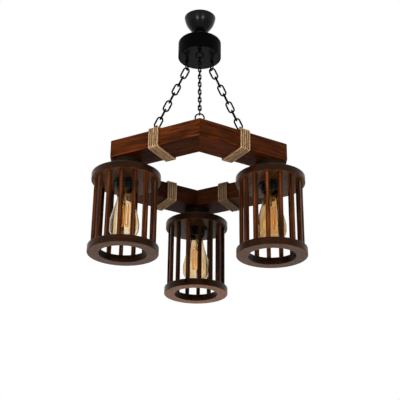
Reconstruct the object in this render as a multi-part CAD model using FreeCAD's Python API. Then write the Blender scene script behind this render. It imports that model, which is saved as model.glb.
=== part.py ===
"""Hexagonal timber chandelier: three slatted lamp cages hang under a mitred frame
that is carried on three chains from a metal canopy.

Row frame: origin at the centre of the hanging eye, +Z up, the front chain towards -Y.
Azimuths are measured from -Y towards +X.  All lengths are in millimetres.
"""
import FreeCAD, Part
import os
from math import acos, asin, cos, degrees, pi, radians, sin, tan

V = FreeCAD.Vector
Z_AXIS = V(0, 0, 1)
Y_AXIS = V(0, 1, 0)
X_AXIS = V(1, 0, 0)
ORIGIN = V(0, 0, 0)

# Timber frame
frame_circumradius = 220.0
beam_width = 68.0
beam_height = 40.0
beam_edge_chamfer = 2.0
frame_drop = 427.0
fixing_inset = 41.0
spline_across = 30.0
spline_radial = 12.0
spline_height = 20.0
spline_inset = 20.0

# Jute windings at the middle of each beam
twine_diameter = 4.6
twine_pitch = 5.1
twine_turns = 5
twine_clearance = 0.3

# Lamp cages
cage_radius = 75.0
cage_disc_thickness = 16.0
cage_ring_width = 25.0
cage_clear_height = 148.0
slat_width = 8.8
slat_depth = 7.2
slat_inset = 6.4
slat_count = 15
spacer_radius = 31.0
spacer_height = 33.0
spacer_roof = 6.0

# Lamp holders and the threaded tubes that clamp them through the frame
holder_radius = 20.0
holder_length = 62.0
holder_mouth_radius = 16.0
holder_roof = 25.0
holder_fit = 0.6
holder_edge_chamfer = 2.0
shade_ring_radius = 26.0
shade_ring_height = 5.0
lamp_tube_radius = 5.0
lamp_tube_bore_radius = 3.5
lamp_tube_fit = 0.3
lamp_tube_engagement = 9.0
lamp_tube_stick_out = 9.0
tube_washer_radius = 12.0
tube_washer_thickness = 2.0
tube_nut_across_flats = 14.0
tube_nut_height = 5.0

# Filament bulbs
bulb_radius = 32.0
bulb_glass_length = 119.0
bulb_glass_wall = 1.0
cap_radius = 13.2
cap_length = 24.0
cap_tip_radius = 5.0
cap_tip_length = 3.0
cap_shoulder = 3.0
bulb_fit = 0.3
cap_wall = 0.8
stalk_radius = 2.2
stalk_flare_length = 12.0
stalk_length = 42.0
filament_wire = 1.1
filament_top_drop = 30.0
filament_length = 62.0
filament_inner_radius = 3.2
filament_outer_radius = 11.0
filament_hairpins = 4

# Canopy: spun cover, base plate that carries the eye bolts, stem and ceiling cup
canopy_radius = 51.5
canopy_height = 42.5
canopy_wall = 1.6
canopy_edge_chamfer = 2.2
canopy_lip = 1.0
canopy_base_thickness = 4.0
canopy_boss_radius = 10.0
canopy_boss_height = 16.5
canopy_top_drop = 59.0
canopy_boss_floor = 2.5
stem_radius = 6.0
stem_fit = 0.3
stem_nut_across_flats = 18.0
stem_nut_height = 6.0

# Hanging loop and its hinge pin
loop_bore_radius = 6.0
loop_outer_radius = 11.0
loop_thickness = 4.0
loop_pin_drop = 14.0
loop_tongue_width = 8.6
loop_slot_gap = 0.2
hinge_pin_radius = 2.2
hinge_pin_fit = 0.05
hinge_pin_end_inset = 0.4
fork_rise = 4.5
fork_slot_floor_gap = 0.5

# Ceiling cup, which slides on the stem
cup_rim_radius = 38.0
cup_rim_rise = 12.0
cup_bowl_depth = 43.0
cup_wall = 2.0
cup_collar_radius = 11.0
cup_radius_shares = (1.0, 0.947, 0.816, 0.553)
cup_depth_shares = (0.0, 0.209, 0.488, 0.814)
grub_screw_radius = 2.0
grub_screw_share = 0.32

# Terminal block inside the canopy
terminal_length = 34.0
terminal_width = 15.0
terminal_height = 9.0
terminal_offset = 26.0
terminal_ways = 3
terminal_tower = 6.0
terminal_tower_height = 4.0

# Eye bolts under the canopy
eye_wire = 3.2
canopy_eye_circle_radius = 35.0
canopy_eye_radius = 10.0
canopy_eye_drop = 16.0
canopy_eye_collar_radius = 4.5
canopy_eye_collar_height = 2.5
canopy_eye_shank_radius = 2.5
canopy_eye_shank_above = 7.0
eye_nut_across_flats = 8.0
eye_nut_height = 4.0

# Eye screws on the frame
frame_eye_radius = 11.0
frame_eye_rise = 22.0
frame_eye_flange_radius = 5.5
frame_eye_flange_height = 2.0
frame_eye_shank_radius = 2.6
frame_eye_depth = 30.0

# Chains: the one at the front is finer than the two at the rear
front_chain_wire = 2.4
front_link_width = 8.8
front_nominal_pitch = 18.1
rear_chain_wire = 3.8
rear_link_width = 17.4
rear_nominal_pitch = 22.9
chain_joint_gap = 0.3
rear_chain_turn = 37.0
rear_eye_turn = 10.0
turned_back_links = 4

# Flat facets that stand for round surfaces, so that the repeated pieces stay light
large_sides = 32
medium_sides = 18
small_sides = 12
bulb_sides = 14
bar_sides = 6
link_end_steps = 3
eye_steps = 12
twine_bends = 2

SIXTH_TURN = 60.0
LAMP_AZIMUTHS = {"left": -SIXTH_TURN, "right": SIXTH_TURN, "rear": 3 * SIXTH_TURN}
CHAIN_AZIMUTHS = {"front": 0.0, "left": -2 * SIXTH_TURN, "right": 2 * SIXTH_TURN}
REAR_TURN_SIGNS = {"front": 0, "left": 1, "right": -1}
SLAT_PHASES = {"left": -4.0, "right": -11.5, "rear": 6.5}
BEAM_NAMES = ("front_right", "right", "rear_right", "rear_left", "left", "front_left")

# Places in plan that follow from the sizes above
fixing_radius = frame_circumradius - fixing_inset
cage_ring_hole_radius = cage_radius - cage_ring_width
slat_circle_radius = cage_radius - slat_inset - slat_depth / 2

# Heights that follow from the sizes above
frame_bottom_z = -frame_drop
frame_top_z = frame_bottom_z + beam_height
spacer_bottom_z = frame_bottom_z - spacer_height
disc_bottom_z = spacer_bottom_z - cage_disc_thickness
ring_top_z = disc_bottom_z - cage_clear_height
ring_bottom_z = ring_top_z - cage_disc_thickness
holder_top_z = frame_bottom_z - spacer_roof
holder_bottom_z = holder_top_z - holder_length
contact_z = holder_top_z - holder_roof
cap_top_z = contact_z - bulb_fit
glass_top_z = cap_top_z - cap_tip_length - cap_length
canopy_top_z = -canopy_top_drop
canopy_bottom_z = canopy_top_z - canopy_height
base_bottom_z = canopy_bottom_z + canopy_lip
base_top_z = base_bottom_z + canopy_base_thickness
canopy_eye_z = base_bottom_z - canopy_eye_drop
frame_eye_z = frame_top_z + frame_eye_rise
pin_z = -loop_pin_drop


def radial(azimuth):
    """Unit vector out from the middle at an azimuth."""
    return V(sin(radians(azimuth)), -cos(radians(azimuth)), 0)


def tangent(azimuth):
    """Unit vector along the circle at an azimuth."""
    return V(cos(radians(azimuth)), sin(radians(azimuth)), 0)


def at(azimuth, radius, height):
    """Point at an azimuth, a radius and a height."""
    return radial(azimuth) * radius + Z_AXIS * height


def solid_of(faces):
    """Closed solid from its faces, turned the right way out."""
    solid = Part.makeSolid(Part.makeShell(faces))
    if solid.Volume < 0:
        solid.reverse()
    return solid


def facet(points):
    """Flat face through its corner points."""
    return Part.Face(Part.makePolygon(list(points) + [points[0]]))


def skin(rings, closed):
    """Solid whose flat faces join each ring of points to the next."""
    count = len(rings[0])
    spans = len(rings) if closed else len(rings) - 1
    faces = []
    for i in range(spans):
        low = rings[i]
        high = rings[(i + 1) % len(rings)]
        for j in range(count):
            k = (j + 1) % count
            faces.append(facet([low[j], low[k], high[k], high[j]]))
    if not closed:
        faces += [facet(rings[0]), facet(rings[-1])]
    return solid_of(faces)


def turned(profile, sides, centre=ORIGIN, holed=False):
    """Many-sided turning about an upright axis, from radius and height pairs.

    A holed turning has a profile that closes on itself clear of the axis.
    """
    rings = []
    for radius, height in profile:
        ring = [centre + at(360 * (k + 0.5) / sides, radius, height) for k in range(sides)]
        rings.append(ring)
    return skin(rings, holed)


def rod(radius, low, high, sides, centre=ORIGIN):
    """Upright many-sided bar between two heights."""
    return turned([(radius, low), (radius, high)], sides, centre)


def tube(outer, inner, low, high, sides, centre=ORIGIN):
    """Upright many-sided tube between two heights."""
    return turned([(outer, low), (outer, high), (inner, high), (inner, low)], sides, centre, True)


def hexagon_nut(across_flats, hole_radius, low, high, centre=ORIGIN):
    """Nut between two heights, whose hole matches a small rod."""
    corner = across_flats / 2 / cos(radians(SIXTH_TURN / 2))
    return rod(corner, low, high, 6, centre).cut(rod(hole_radius, low, high, small_sides, centre))


def mitred_bar(path, start_ring, closed):
    """Bar whose flat sides meet in a mitre at each point of a path.

    Each ring of points is carried along its run to the plane that halves the next bend.
    """
    count = len(path)
    rings = [start_ring]
    last = count if closed else count - 1
    for i in range(1, last):
        run = (path[i] - path[i - 1]).normalize()
        ahead = (path[(i + 1) % count] - path[i]).normalize()
        cut = (run + ahead).normalize()
        ring = []
        for point in rings[-1]:
            ring.append(point + run * ((path[i] - point).dot(cut) / run.dot(cut)))
        rings.append(ring)
    if not closed:
        run = (path[-1] - path[-2]).normalize()
        rings.append([point + run * (path[-1] - point).dot(run) for point in rings[-1]])
    return skin(rings, closed)


def section_ring(point, side, up, wire):
    """Ring of points round a bar's section, from two directions across the bar."""
    ring = []
    for k in range(bar_sides):
        angle = 2 * pi * (k + 0.5) / bar_sides
        ring.append(point + side * (wire / 2 * cos(angle)) + up * (wire / 2 * sin(angle)))
    return ring


def bent_bar(path, normal, wire, closed):
    """Faceted round bar with mitred bends along a path that lies in one plane."""
    ahead = (path[1] - path[0]).normalize()
    side = ahead.cross(normal).normalize()
    if closed:
        before = (path[0] - path[-1]).normalize().cross(normal).normalize()
        mitre = (side + before).normalize()
        side = mitre * (1 / mitre.dot(side))
    return mitred_bar(path, section_ring(path[0], side, normal, wire), closed)


def move_to(shape, azimuth, radius=0.0, height=0.0):
    """Turn a shape from azimuth 0 about the middle axis and carry it to its place."""
    placed = shape.copy()
    placed.rotate(ORIGIN, Z_AXIS, azimuth)
    placed.translate(at(azimuth, radius, height))
    return placed


def eye_ring(outer_radius, plane_normal):
    """Closed ring of round bar about the origin."""
    mean = outer_radius - eye_wire / 2
    across = plane_normal.cross(Z_AXIS)
    path = []
    for k in range(eye_steps):
        angle = 2 * pi * k / eye_steps
        path.append(across * (mean * cos(angle)) + Z_AXIS * (mean * sin(angle)))
    return bent_bar(path, plane_normal, eye_wire, True)


# Timber frame


def beam_blank(width, height, chamfer):
    """One straight beam of the hexagon, mitred at both ends, facing azimuth 30."""
    middle = SIXTH_TURN / 2
    outer = frame_circumradius * cos(radians(middle))
    half_angle = radians(middle)
    section = [
        (outer - width + chamfer, 0), (outer - chamfer, 0), (outer, chamfer),
        (outer, height - chamfer), (outer - chamfer, height), (outer - width + chamfer, height),
        (outer - width, height - chamfer), (outer - width, chamfer),
    ]
    ends = []
    for sign in (-1, 1):
        ring = []
        for distance, rise in section:
            ring.append(radial(middle) * distance + tangent(middle) * (sign * distance * tan(half_angle))
                        + Z_AXIS * (frame_bottom_z + rise))
        ends.append(ring)
    return skin(ends, False)


def joint_splines(azimuth):
    """Two loose tenons that cross one mitre, inside and outside its upright fixing."""
    pieces = []
    for offset in (-spline_inset, spline_inset):
        low_z = frame_bottom_z + (beam_height - spline_height) / 2
        box = Part.makeBox(spline_across, spline_radial, spline_height)
        box.translate(V(-spline_across / 2, -spline_radial / 2, 0))
        pieces.append(move_to(box, azimuth, fixing_radius + offset, low_z))
    return pieces


def corner_drilling(azimuth):
    """Hole through, or into, the mitre at one corner of the frame."""
    centre = at(azimuth, fixing_radius, 0)
    if azimuth % (2 * SIXTH_TURN):
        return rod(lamp_tube_radius + lamp_tube_fit, frame_bottom_z, frame_top_z, small_sides, centre)
    low = frame_top_z - frame_eye_depth
    return rod(frame_eye_shank_radius, low, frame_top_z, small_sides, centre)


def timber_frame():
    """Six beams with their joints cut, and the tenons between them."""
    splines = []
    drillings = []
    for corner in range(6):
        splines.append(joint_splines(SIXTH_TURN * corner))
        drillings.append(corner_drilling(SIXTH_TURN * corner))
    parts = {}
    for side, name in enumerate(BEAM_NAMES):
        beam = beam_blank(beam_width, beam_height, beam_edge_chamfer)
        beam.rotate(ORIGIN, Z_AXIS, SIXTH_TURN * side)
        for corner in (side, (side + 1) % 6):
            for cutter in splines[corner] + [drillings[corner]]:
                beam = beam.cut(cutter)
        parts["beam_" + name] = beam
    parts["mitre_tenons"] = Part.makeCompound([piece for pair in splines for piece in pair])
    return parts


# Jute windings


def winding_corners():
    """Corner points of one winding, in a beam's own axes: along, outwards and up."""
    reach = twine_diameter / 2 + twine_clearance
    half = beam_width / 2 + reach
    low = -reach
    high = beam_height + reach
    start = -twine_pitch * twine_turns / 2
    points = [V(start, 0, high)]
    for turn in range(twine_turns):
        here = start + twine_pitch * (turn + 0.5)
        points += [V(here, half, high), V(here, half, low), V(here, -half, low), V(here, -half, high)]
    points.append(V(start + twine_pitch * twine_turns, 0, high))
    return points


def eased_route(points, bend):
    """The same route with each corner taken round a bend, as straight steps that touch it."""
    route = [points[0]]
    for i in range(1, len(points) - 1):
        corner = points[i]
        back = (points[i - 1] - corner).normalize()
        ahead = (points[i + 1] - corner).normalize()
        turn = pi - acos(back.dot(ahead))
        reach = bend * tan(turn / 2)
        centre = corner + (back + ahead).normalize() * (bend / cos(turn / 2))
        spoke = (corner + back * reach - centre).normalize()
        for step in range(twine_bends):
            angle = turn * (step + 0.5) / twine_bends
            out = spoke * cos(angle) - back * sin(angle)
            route.append(centre + out * (bend / cos(turn / twine_bends / 2)))
    route.append(points[-1])
    return route


def run_distance(a0, a1, b0, b1):
    """Least distance between two straight runs, measured on points along them."""
    steps = 24
    least = a0.distanceToPoint(b0)
    for i in range(steps + 1):
        p = a0 + (a1 - a0) * (i / steps)
        for j in range(steps + 1):
            least = min(least, p.distanceToPoint(b0 + (b1 - b0) * (j / steps)))
    return least


def least_self_gap(route):
    """Least gap between stretches of one winding that aren't neighbours."""
    runs = list(zip(route[:-1], route[1:]))
    least = route[0].distanceToPoint(route[-1])
    for i, one in enumerate(runs):
        for other in runs[i + twine_bends + 1:]:
            least = min(least, run_distance(*one, *other))
    return least - twine_diameter


def winding():
    """One unbroken length of twine wound round a beam, in the beam's own axes."""
    route = eased_route(winding_corners(), twine_diameter)
    along = (route[1] - route[0]).normalize()
    side = along.cross(Z_AXIS).normalize()
    length = sum(a.distanceToPoint(b) for a, b in zip(route[:-1], route[1:]))
    print("winding: turns", twine_turns, "least gap to itself", round(least_self_gap(route), 3),
          "mm, bend radius", twine_diameter, "mm, length", round(length, 1), "mm")
    return mitred_bar(route, section_ring(route[0], side, side.cross(along), twine_diameter), False)


def beam_windings():
    """The same winding at the middle of each of the six beams."""
    first = winding()
    middle = SIXTH_TURN / 2
    centre = frame_circumradius * cos(radians(middle)) - beam_width / 2
    windings = []
    for side in range(6):
        azimuth = middle + SIXTH_TURN * side
        placed = first.copy()
        placed.rotate(ORIGIN, Z_AXIS, 180)
        windings.append(move_to(placed, azimuth, centre, frame_bottom_z))
    return {"jute_windings": Part.makeCompound(windings)}


# Lamp cages


def slat(azimuth):
    """One upright slat, whose broad faces look out of the cage and into it."""
    x = slat_width / 2
    y = slat_depth / 2
    rings = []
    for height in (ring_top_z, disc_bottom_z):
        rings.append([at(azimuth, slat_circle_radius + out, height) + tangent(azimuth) * across
                      for across, out in ((-x, -y), (x, -y), (x, y), (-x, y))])
    return skin(rings, False)


def cage(side):
    """Spacer, top disc, slats and bottom ring of one cage."""
    azimuth = LAMP_AZIMUTHS[side]
    centre = at(azimuth, fixing_radius, 0)
    opening = holder_radius + holder_fit
    tube_hole = lamp_tube_radius + lamp_tube_fit
    spacer = turned([
        (spacer_radius, spacer_bottom_z), (spacer_radius, frame_bottom_z), (tube_hole, frame_bottom_z),
        (tube_hole, holder_top_z), (opening, holder_top_z), (opening, spacer_bottom_z),
    ], medium_sides, centre, True)
    slats = []
    for k in range(slat_count):
        bar = slat(SLAT_PHASES[side] + 360 * k / slat_count)
        bar.translate(centre)
        slats.append(bar)
    disc = tube(cage_radius, opening, disc_bottom_z, spacer_bottom_z, large_sides, centre)
    ring = tube(cage_radius, cage_ring_hole_radius, ring_bottom_z, ring_top_z, large_sides, centre)
    return {
        "spacer_" + side: spacer,
        "cage_disc_" + side: disc,
        "cage_slats_" + side: Part.makeCompound(slats),
        "cage_ring_" + side: ring,
    }


def lamp_fittings():
    """Lamp holders, shade rings, threaded tubes, washers and nuts of the three lamps."""
    holders = []
    shade_rings = []
    tubes = []
    washers = []
    nuts = []
    cavity = cap_radius + bulb_fit
    tube_bottom = holder_top_z - lamp_tube_engagement
    tube_top = frame_top_z + lamp_tube_stick_out
    washer_top = frame_top_z + tube_washer_thickness
    for azimuth in LAMP_AZIMUTHS.values():
        centre = at(azimuth, fixing_radius, 0)
        thread = rod(lamp_tube_radius, tube_bottom, tube_top, small_sides, centre)
        holder = turned([
            (cavity, contact_z), (cavity, glass_top_z + holder_mouth_radius - cavity),
            (holder_mouth_radius, glass_top_z), (holder_mouth_radius, holder_bottom_z),
            (holder_radius - holder_edge_chamfer, holder_bottom_z),
            (holder_radius, holder_bottom_z + holder_edge_chamfer), (holder_radius, holder_top_z),
        ], medium_sides, centre)
        holders.append(holder.cut(thread))
        shade_rings.append(tube(shade_ring_radius, holder_radius, disc_bottom_z - shade_ring_height,
                                disc_bottom_z, medium_sides, centre))
        tubes.append(thread.cut(rod(lamp_tube_bore_radius, tube_bottom, tube_top, small_sides, centre)))
        washer = rod(tube_washer_radius, frame_top_z, washer_top, small_sides, centre)
        washers.append(washer.cut(thread))
        nuts.append(hexagon_nut(tube_nut_across_flats, lamp_tube_radius, washer_top,
                                washer_top + tube_nut_height, centre))
    return {
        "lamp_holders": Part.makeCompound(holders),
        "shade_rings": Part.makeCompound(shade_rings),
        "lamp_tubes": Part.makeCompound(tubes),
        "tube_washers": Part.makeCompound(washers),
        "tube_nuts": Part.makeCompound(nuts),
    }


# Filament bulbs


def glass_profile(inset):
    """Radius and height pairs down a pear-shaped bulb, inset by a wall thickness."""
    radius_shares = (0.41, 0.44, 0.58, 0.8, 0.95, 1.0, 0.93, 0.66, 0.2)
    drop_shares = (0.0, 0.12, 0.32, 0.53, 0.68, 0.78, 0.89, 0.97, 1.0)
    pairs = []
    for radius_share, drop_share in zip(radius_shares, drop_shares):
        drop = drop_share * (bulb_glass_length - inset)
        pairs.append((radius_share * bulb_radius - inset, glass_top_z - drop))
    return pairs


def hairpins(centre):
    """Filament hairpins set round the stalk, each bent from one wire."""
    top = glass_top_z - filament_top_drop
    bottom = top - filament_length
    wires = []
    for k in range(filament_hairpins):
        azimuth = 360 * (k + 0.5) / filament_hairpins
        path = [
            at(azimuth, filament_inner_radius, top), at(azimuth, filament_inner_radius, bottom),
            at(azimuth, filament_outer_radius, bottom), at(azimuth, filament_outer_radius, top),
        ]
        wire = bent_bar(path, tangent(azimuth), filament_wire, False)
        wire.translate(centre)
        wires.append(wire)
    return wires


def bulb(side):
    """Glass, hollow cap, stalk and filament of one bulb."""
    centre = at(LAMP_AZIMUTHS[side], fixing_radius, 0)
    cap_bottom = glass_top_z
    shoulder_z = cap_bottom + cap_length
    cap = turned([
        (cap_radius, cap_bottom), (cap_radius, shoulder_z - cap_shoulder),
        (cap_tip_radius, shoulder_z), (cap_tip_radius, cap_top_z),
    ], small_sides, centre)
    cap = cap.cut(turned([
        (cap_radius - cap_wall, cap_bottom), (cap_radius - cap_wall, shoulder_z - cap_shoulder - cap_wall),
        (cap_tip_radius - cap_wall, shoulder_z - cap_wall),
    ], small_sides, centre))
    glass = turned(glass_profile(0), bulb_sides, centre)
    glass = glass.cut(turned(glass_profile(bulb_glass_wall), bulb_sides, centre))
    neck_radius = glass_profile(bulb_glass_wall)[0][0]
    stalk = turned([
        (neck_radius, glass_top_z), (stalk_radius, glass_top_z - stalk_flare_length),
        (stalk_radius, glass_top_z - stalk_length),
    ], bulb_sides, centre)
    return {
        "bulb_glass_" + side: glass,
        "bulb_cap_" + side: cap,
        "bulb_stalk_" + side: stalk,
        "bulb_filament_" + side: Part.makeCompound(hairpins(centre)),
    }


# Canopy, stem and ceiling cup


def stem():
    """Stem with a forked top for the hanging loop and a plain lower end in the boss."""
    top = pin_z + fork_rise
    bottom = base_top_z + canopy_boss_floor - canopy_base_thickness / 2
    bar = rod(stem_radius, bottom, top, medium_sides)
    slot_floor = pin_z - loop_tongue_width / 2 - fork_slot_floor_gap
    slot_width = loop_thickness + 2 * loop_slot_gap
    slot = Part.makeBox(2 * stem_radius, slot_width, top - slot_floor,
                        V(-stem_radius, -slot_width / 2, slot_floor))
    pin_hole = Part.makeCylinder(hinge_pin_radius, 2 * stem_radius, V(0, -stem_radius, pin_z), Y_AXIS)
    return bar.cut(slot).cut(pin_hole)


def hanging_loop():
    """Flat steel eye with a tongue that hangs the stem on its pin."""
    half = loop_thickness / 2
    outline = []
    waist = asin(loop_tongue_width / 2 / loop_outer_radius)
    sweep = 2 * (pi - waist)
    for k in range(medium_sides + 1):
        angle = waist + sweep * k / medium_sides
        outline.append(V(loop_outer_radius * sin(angle), -half, -loop_outer_radius * cos(angle)))
    tip = loop_tongue_width / 2
    for k in range(bar_sides + 1):
        angle = pi * k / bar_sides
        outline.append(V(-tip * cos(angle), -half, pin_z - tip * sin(angle)))
    plate = facet(outline).extrude(Y_AXIS * loop_thickness)
    bore = Part.makeCylinder(loop_bore_radius, loop_thickness, V(0, -half, 0), Y_AXIS)
    pin_hole = Part.makeCylinder(hinge_pin_radius + hinge_pin_fit, loop_thickness, V(0, -half, pin_z), Y_AXIS)
    return plate.cut(bore).cut(pin_hole)


def ceiling_cup():
    """Bowl that is open to the ceiling, with a collar round the stem."""
    bowl_bottom = cup_rim_rise - cup_bowl_depth
    bore = stem_radius + stem_fit
    outside = []
    inside = []
    for radius_share, depth_share in zip(cup_radius_shares, cup_depth_shares):
        height = cup_rim_rise - depth_share * cup_bowl_depth
        outside.append((radius_share * cup_rim_radius, height))
        inside.append((radius_share * cup_rim_radius - cup_wall, height + depth_share * cup_wall))
    profile = outside + [
        (cup_collar_radius, bowl_bottom), (cup_collar_radius, canopy_top_z), (bore, canopy_top_z),
        (bore, bowl_bottom + cup_wall),
    ] + inside[::-1]
    return turned(profile, large_sides, ORIGIN, True)


def grub_screw():
    """Headless screw across the collar, whose tip stops just short of the stem."""
    height = canopy_top_z + grub_screw_share * (cup_rim_rise - cup_bowl_depth - canopy_top_z)
    inner = stem_radius + stem_fit
    return Part.makeCylinder(grub_screw_radius, cup_collar_radius - inner, V(inner, 0, height), X_AXIS)


def eye_shank(azimuth):
    """Shank of one canopy eye bolt, from the collar up through the base plate and its nut."""
    centre = at(azimuth, canopy_eye_circle_radius, 0)
    top = base_top_z + canopy_eye_shank_above
    return rod(canopy_eye_shank_radius, base_bottom_z, top, small_sides, centre)


def canopy_base():
    """Round plate with a blind threaded boss for the stem and three bolt holes."""
    inner = canopy_radius - canopy_wall
    plate = rod(inner, base_bottom_z, base_top_z, large_sides)
    boss = rod(canopy_boss_radius, base_top_z, base_top_z + canopy_boss_height, medium_sides)
    plate = plate.fuse(boss).cut(stem())
    for azimuth in CHAIN_AZIMUTHS.values():
        plate = plate.cut(eye_shank(azimuth))
    return plate.removeSplitter()


def canopy_cover():
    """Spun cover with a chamfered top edge and a hole for the stem."""
    inner = canopy_radius - canopy_wall
    ceiling = canopy_top_z - canopy_wall
    inner_chamfer = canopy_edge_chamfer - canopy_wall / 2
    return turned([
        (stem_radius + stem_fit, canopy_top_z), (canopy_radius - canopy_edge_chamfer, canopy_top_z),
        (canopy_radius, canopy_top_z - canopy_edge_chamfer), (canopy_radius, canopy_bottom_z),
        (inner, canopy_bottom_z), (inner, ceiling - inner_chamfer), (inner - inner_chamfer, ceiling),
        (stem_radius + stem_fit, ceiling),
    ], large_sides, ORIGIN, True)


def stem_nut():
    """Nut that holds the cover's top against the boss below."""
    high = canopy_top_z - canopy_wall
    low = high - stem_nut_height
    corner = stem_nut_across_flats / 2 / cos(radians(SIXTH_TURN / 2))
    return rod(corner, low, high, 6).cut(rod(stem_radius, low, high, medium_sides))


def terminal_block():
    """Insulated connector strip that stands on the base plate beside the boss."""
    low_x = -terminal_length / 2
    low_y = terminal_offset - terminal_width / 2
    block = Part.makeBox(terminal_length, terminal_width, terminal_height, V(low_x, low_y, base_top_z))
    step = terminal_length / terminal_ways
    for way in range(terminal_ways):
        middle = low_x + step * (way + 0.5)
        tower = Part.makeBox(terminal_tower, terminal_width, terminal_tower_height,
                             V(middle - terminal_tower / 2, low_y, base_top_z + terminal_height))
        block = block.fuse(tower)
    return block.removeSplitter()


def canopy_eye_bolt(turn):
    """Eye bolt at azimuth 0 with its ring turned about the bolt's axis, where the origin is."""
    ring = eye_ring(canopy_eye_radius, tangent(turn + 90))
    ring.translate(Z_AXIS * canopy_eye_z)
    collar_bottom = base_bottom_z - canopy_eye_collar_height
    ring_top = canopy_eye_z + canopy_eye_radius - eye_wire / 2
    neck = rod(eye_wire / 2, ring_top - eye_wire / 2, collar_bottom, bar_sides)
    collar = rod(canopy_eye_collar_radius, collar_bottom, base_bottom_z, small_sides)
    top = base_top_z + canopy_eye_shank_above
    shank = rod(canopy_eye_shank_radius, base_bottom_z, top, small_sides)
    return ring.fuse(neck).fuse(collar).fuse(shank)


def canopy_eyes():
    """Three eye bolts and their nuts."""
    nut = hexagon_nut(eye_nut_across_flats, canopy_eye_shank_radius, base_top_z,
                      base_top_z + eye_nut_height)
    bolts = []
    nuts = []
    for name, azimuth in CHAIN_AZIMUTHS.items():
        bolt = canopy_eye_bolt(REAR_TURN_SIGNS[name] * rear_eye_turn)
        bolts.append(move_to(bolt, azimuth, canopy_eye_circle_radius))
        nuts.append(move_to(nut, azimuth, canopy_eye_circle_radius))
    return {"canopy_eye_bolts": Part.makeCompound(bolts), "eye_bolt_nuts": Part.makeCompound(nuts)}


# Chains and the eyes on the frame


def chain_top(azimuth):
    """Middle of the wire at the bottom of a canopy eye."""
    return at(azimuth, canopy_eye_circle_radius, canopy_eye_z - canopy_eye_radius + eye_wire / 2)


def chain_line(azimuth):
    """Start, end and direction of the straight line that a tight chain follows.

    The front chain ends at the top of its eye. The others end where they pull on theirs.
    """
    start = chain_top(azimuth)
    mean = frame_eye_radius - eye_wire / 2
    eye = at(azimuth, fixing_radius, frame_eye_z)
    end = eye + Z_AXIS * mean
    if azimuth:
        end = eye + (start - eye).normalize() * mean
    return start, end, (end - start).normalize()


def chain_link(along, across, wire, width, inner_length):
    """One link about the origin: two end arcs and two straight sides, as a closed bar."""
    bend = (width - wire) / 2
    half_straight = inner_length / 2 + wire / 2 - bend * cos(pi / (2 * link_end_steps))
    path = []
    for sign in (1, -1):
        for step in range(link_end_steps + 1):
            angle = pi * step / link_end_steps
            path.append(across * (sign * bend * cos(angle))
                        + along * (sign * (half_straight + bend * sin(angle))))
    return bent_bar(path, along.cross(across).normalize(), wire, True)


def chain(azimuth, wire, width, nominal_pitch, count_is_odd, whole_turn):
    """Tight chain whose links stand at a quarter turn to each other.

    All but its last links are turned about the chain's line, and those turn back to suit the eye.
    """
    start, end, along = chain_line(azimuth)
    span = start.distanceToPoint(end)
    count = 2 * round((span / nominal_pitch - count_is_odd) / 2) + count_is_odd
    inner_length = (span + eye_wire + (count + 1) * chain_joint_gap) / count
    sideways = tangent(azimuth)
    in_plane = along.cross(sideways).normalize()
    first = inner_length / 2 - eye_wire / 2 - chain_joint_gap
    links = []
    for k in range(count):
        angle = radians(90 * k + whole_turn * min(1, (count - 1 - k) / turned_back_links))
        across = in_plane * cos(angle) + sideways * sin(angle)
        link = chain_link(along, across, wire, width, inner_length)
        link.translate(start + along * (first + k * (inner_length - chain_joint_gap)))
        links.append(link)
    print("chain at azimuth", azimuth, "links", count, "inner length", round(inner_length, 2),
          "line at", round(degrees(acos(-along.z)), 1), "degrees to upright")
    return Part.makeCompound(links)


def frame_eye(plane_normal):
    """Eye screw about its own axis: ring, neck, flange and the shank in the wood."""
    ring = eye_ring(frame_eye_radius, plane_normal)
    ring.translate(Z_AXIS * frame_eye_z)
    flange_top = frame_top_z + frame_eye_flange_height
    ring_bottom = frame_eye_z - frame_eye_radius + eye_wire / 2
    neck = rod(eye_wire / 2, flange_top, ring_bottom, bar_sides)
    flange = rod(frame_eye_flange_radius, frame_top_z, flange_top, small_sides)
    low = frame_top_z - frame_eye_depth
    shank = rod(frame_eye_shank_radius, low, frame_top_z, small_sides)
    return ring.fuse(neck).fuse(flange).fuse(shank)


def suspension():
    """Three chains and the three eye screws that take them."""
    parts = {}
    eyes = []
    for name, azimuth in CHAIN_AZIMUTHS.items():
        if azimuth:
            turn = REAR_TURN_SIGNS[name] * rear_chain_turn
            parts["chain_" + name] = chain(azimuth, rear_chain_wire, rear_link_width,
                                           rear_nominal_pitch, 0, turn)
        else:
            parts["chain_" + name] = chain(azimuth, front_chain_wire, front_link_width,
                                           front_nominal_pitch, 1, 0)
        eyes.append(move_to(frame_eye(X_AXIS if azimuth else Y_AXIS), azimuth, fixing_radius))
    parts["frame_eye_screws"] = Part.makeCompound(eyes)
    return parts


def hinge_pin():
    """Pin pressed through the stem's fork."""
    half = stem_radius - hinge_pin_end_inset
    return Part.makeCylinder(hinge_pin_radius, 2 * half, V(0, -half, pin_z), Y_AXIS)


def model():
    """Every node of the chandelier by name."""
    parts = {
        "hanging_loop": hanging_loop(),
        "hinge_pin": hinge_pin(),
        "stem": stem(),
        "stem_nut": stem_nut(),
        "ceiling_cup": ceiling_cup(),
        "cup_grub_screw": grub_screw(),
        "terminal_block": terminal_block(),
        "canopy_cover": canopy_cover(),
        "canopy_base": canopy_base(),
    }
    parts["ceiling_cup"] = parts["ceiling_cup"].cut(parts["cup_grub_screw"])
    parts.update(canopy_eyes())
    parts.update(suspension())
    parts.update(timber_frame())
    parts.update(beam_windings())
    for side in LAMP_AZIMUTHS:
        parts.update(cage(side))
        parts.update(bulb(side))
    parts.update(lamp_fittings())
    return parts


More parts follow.
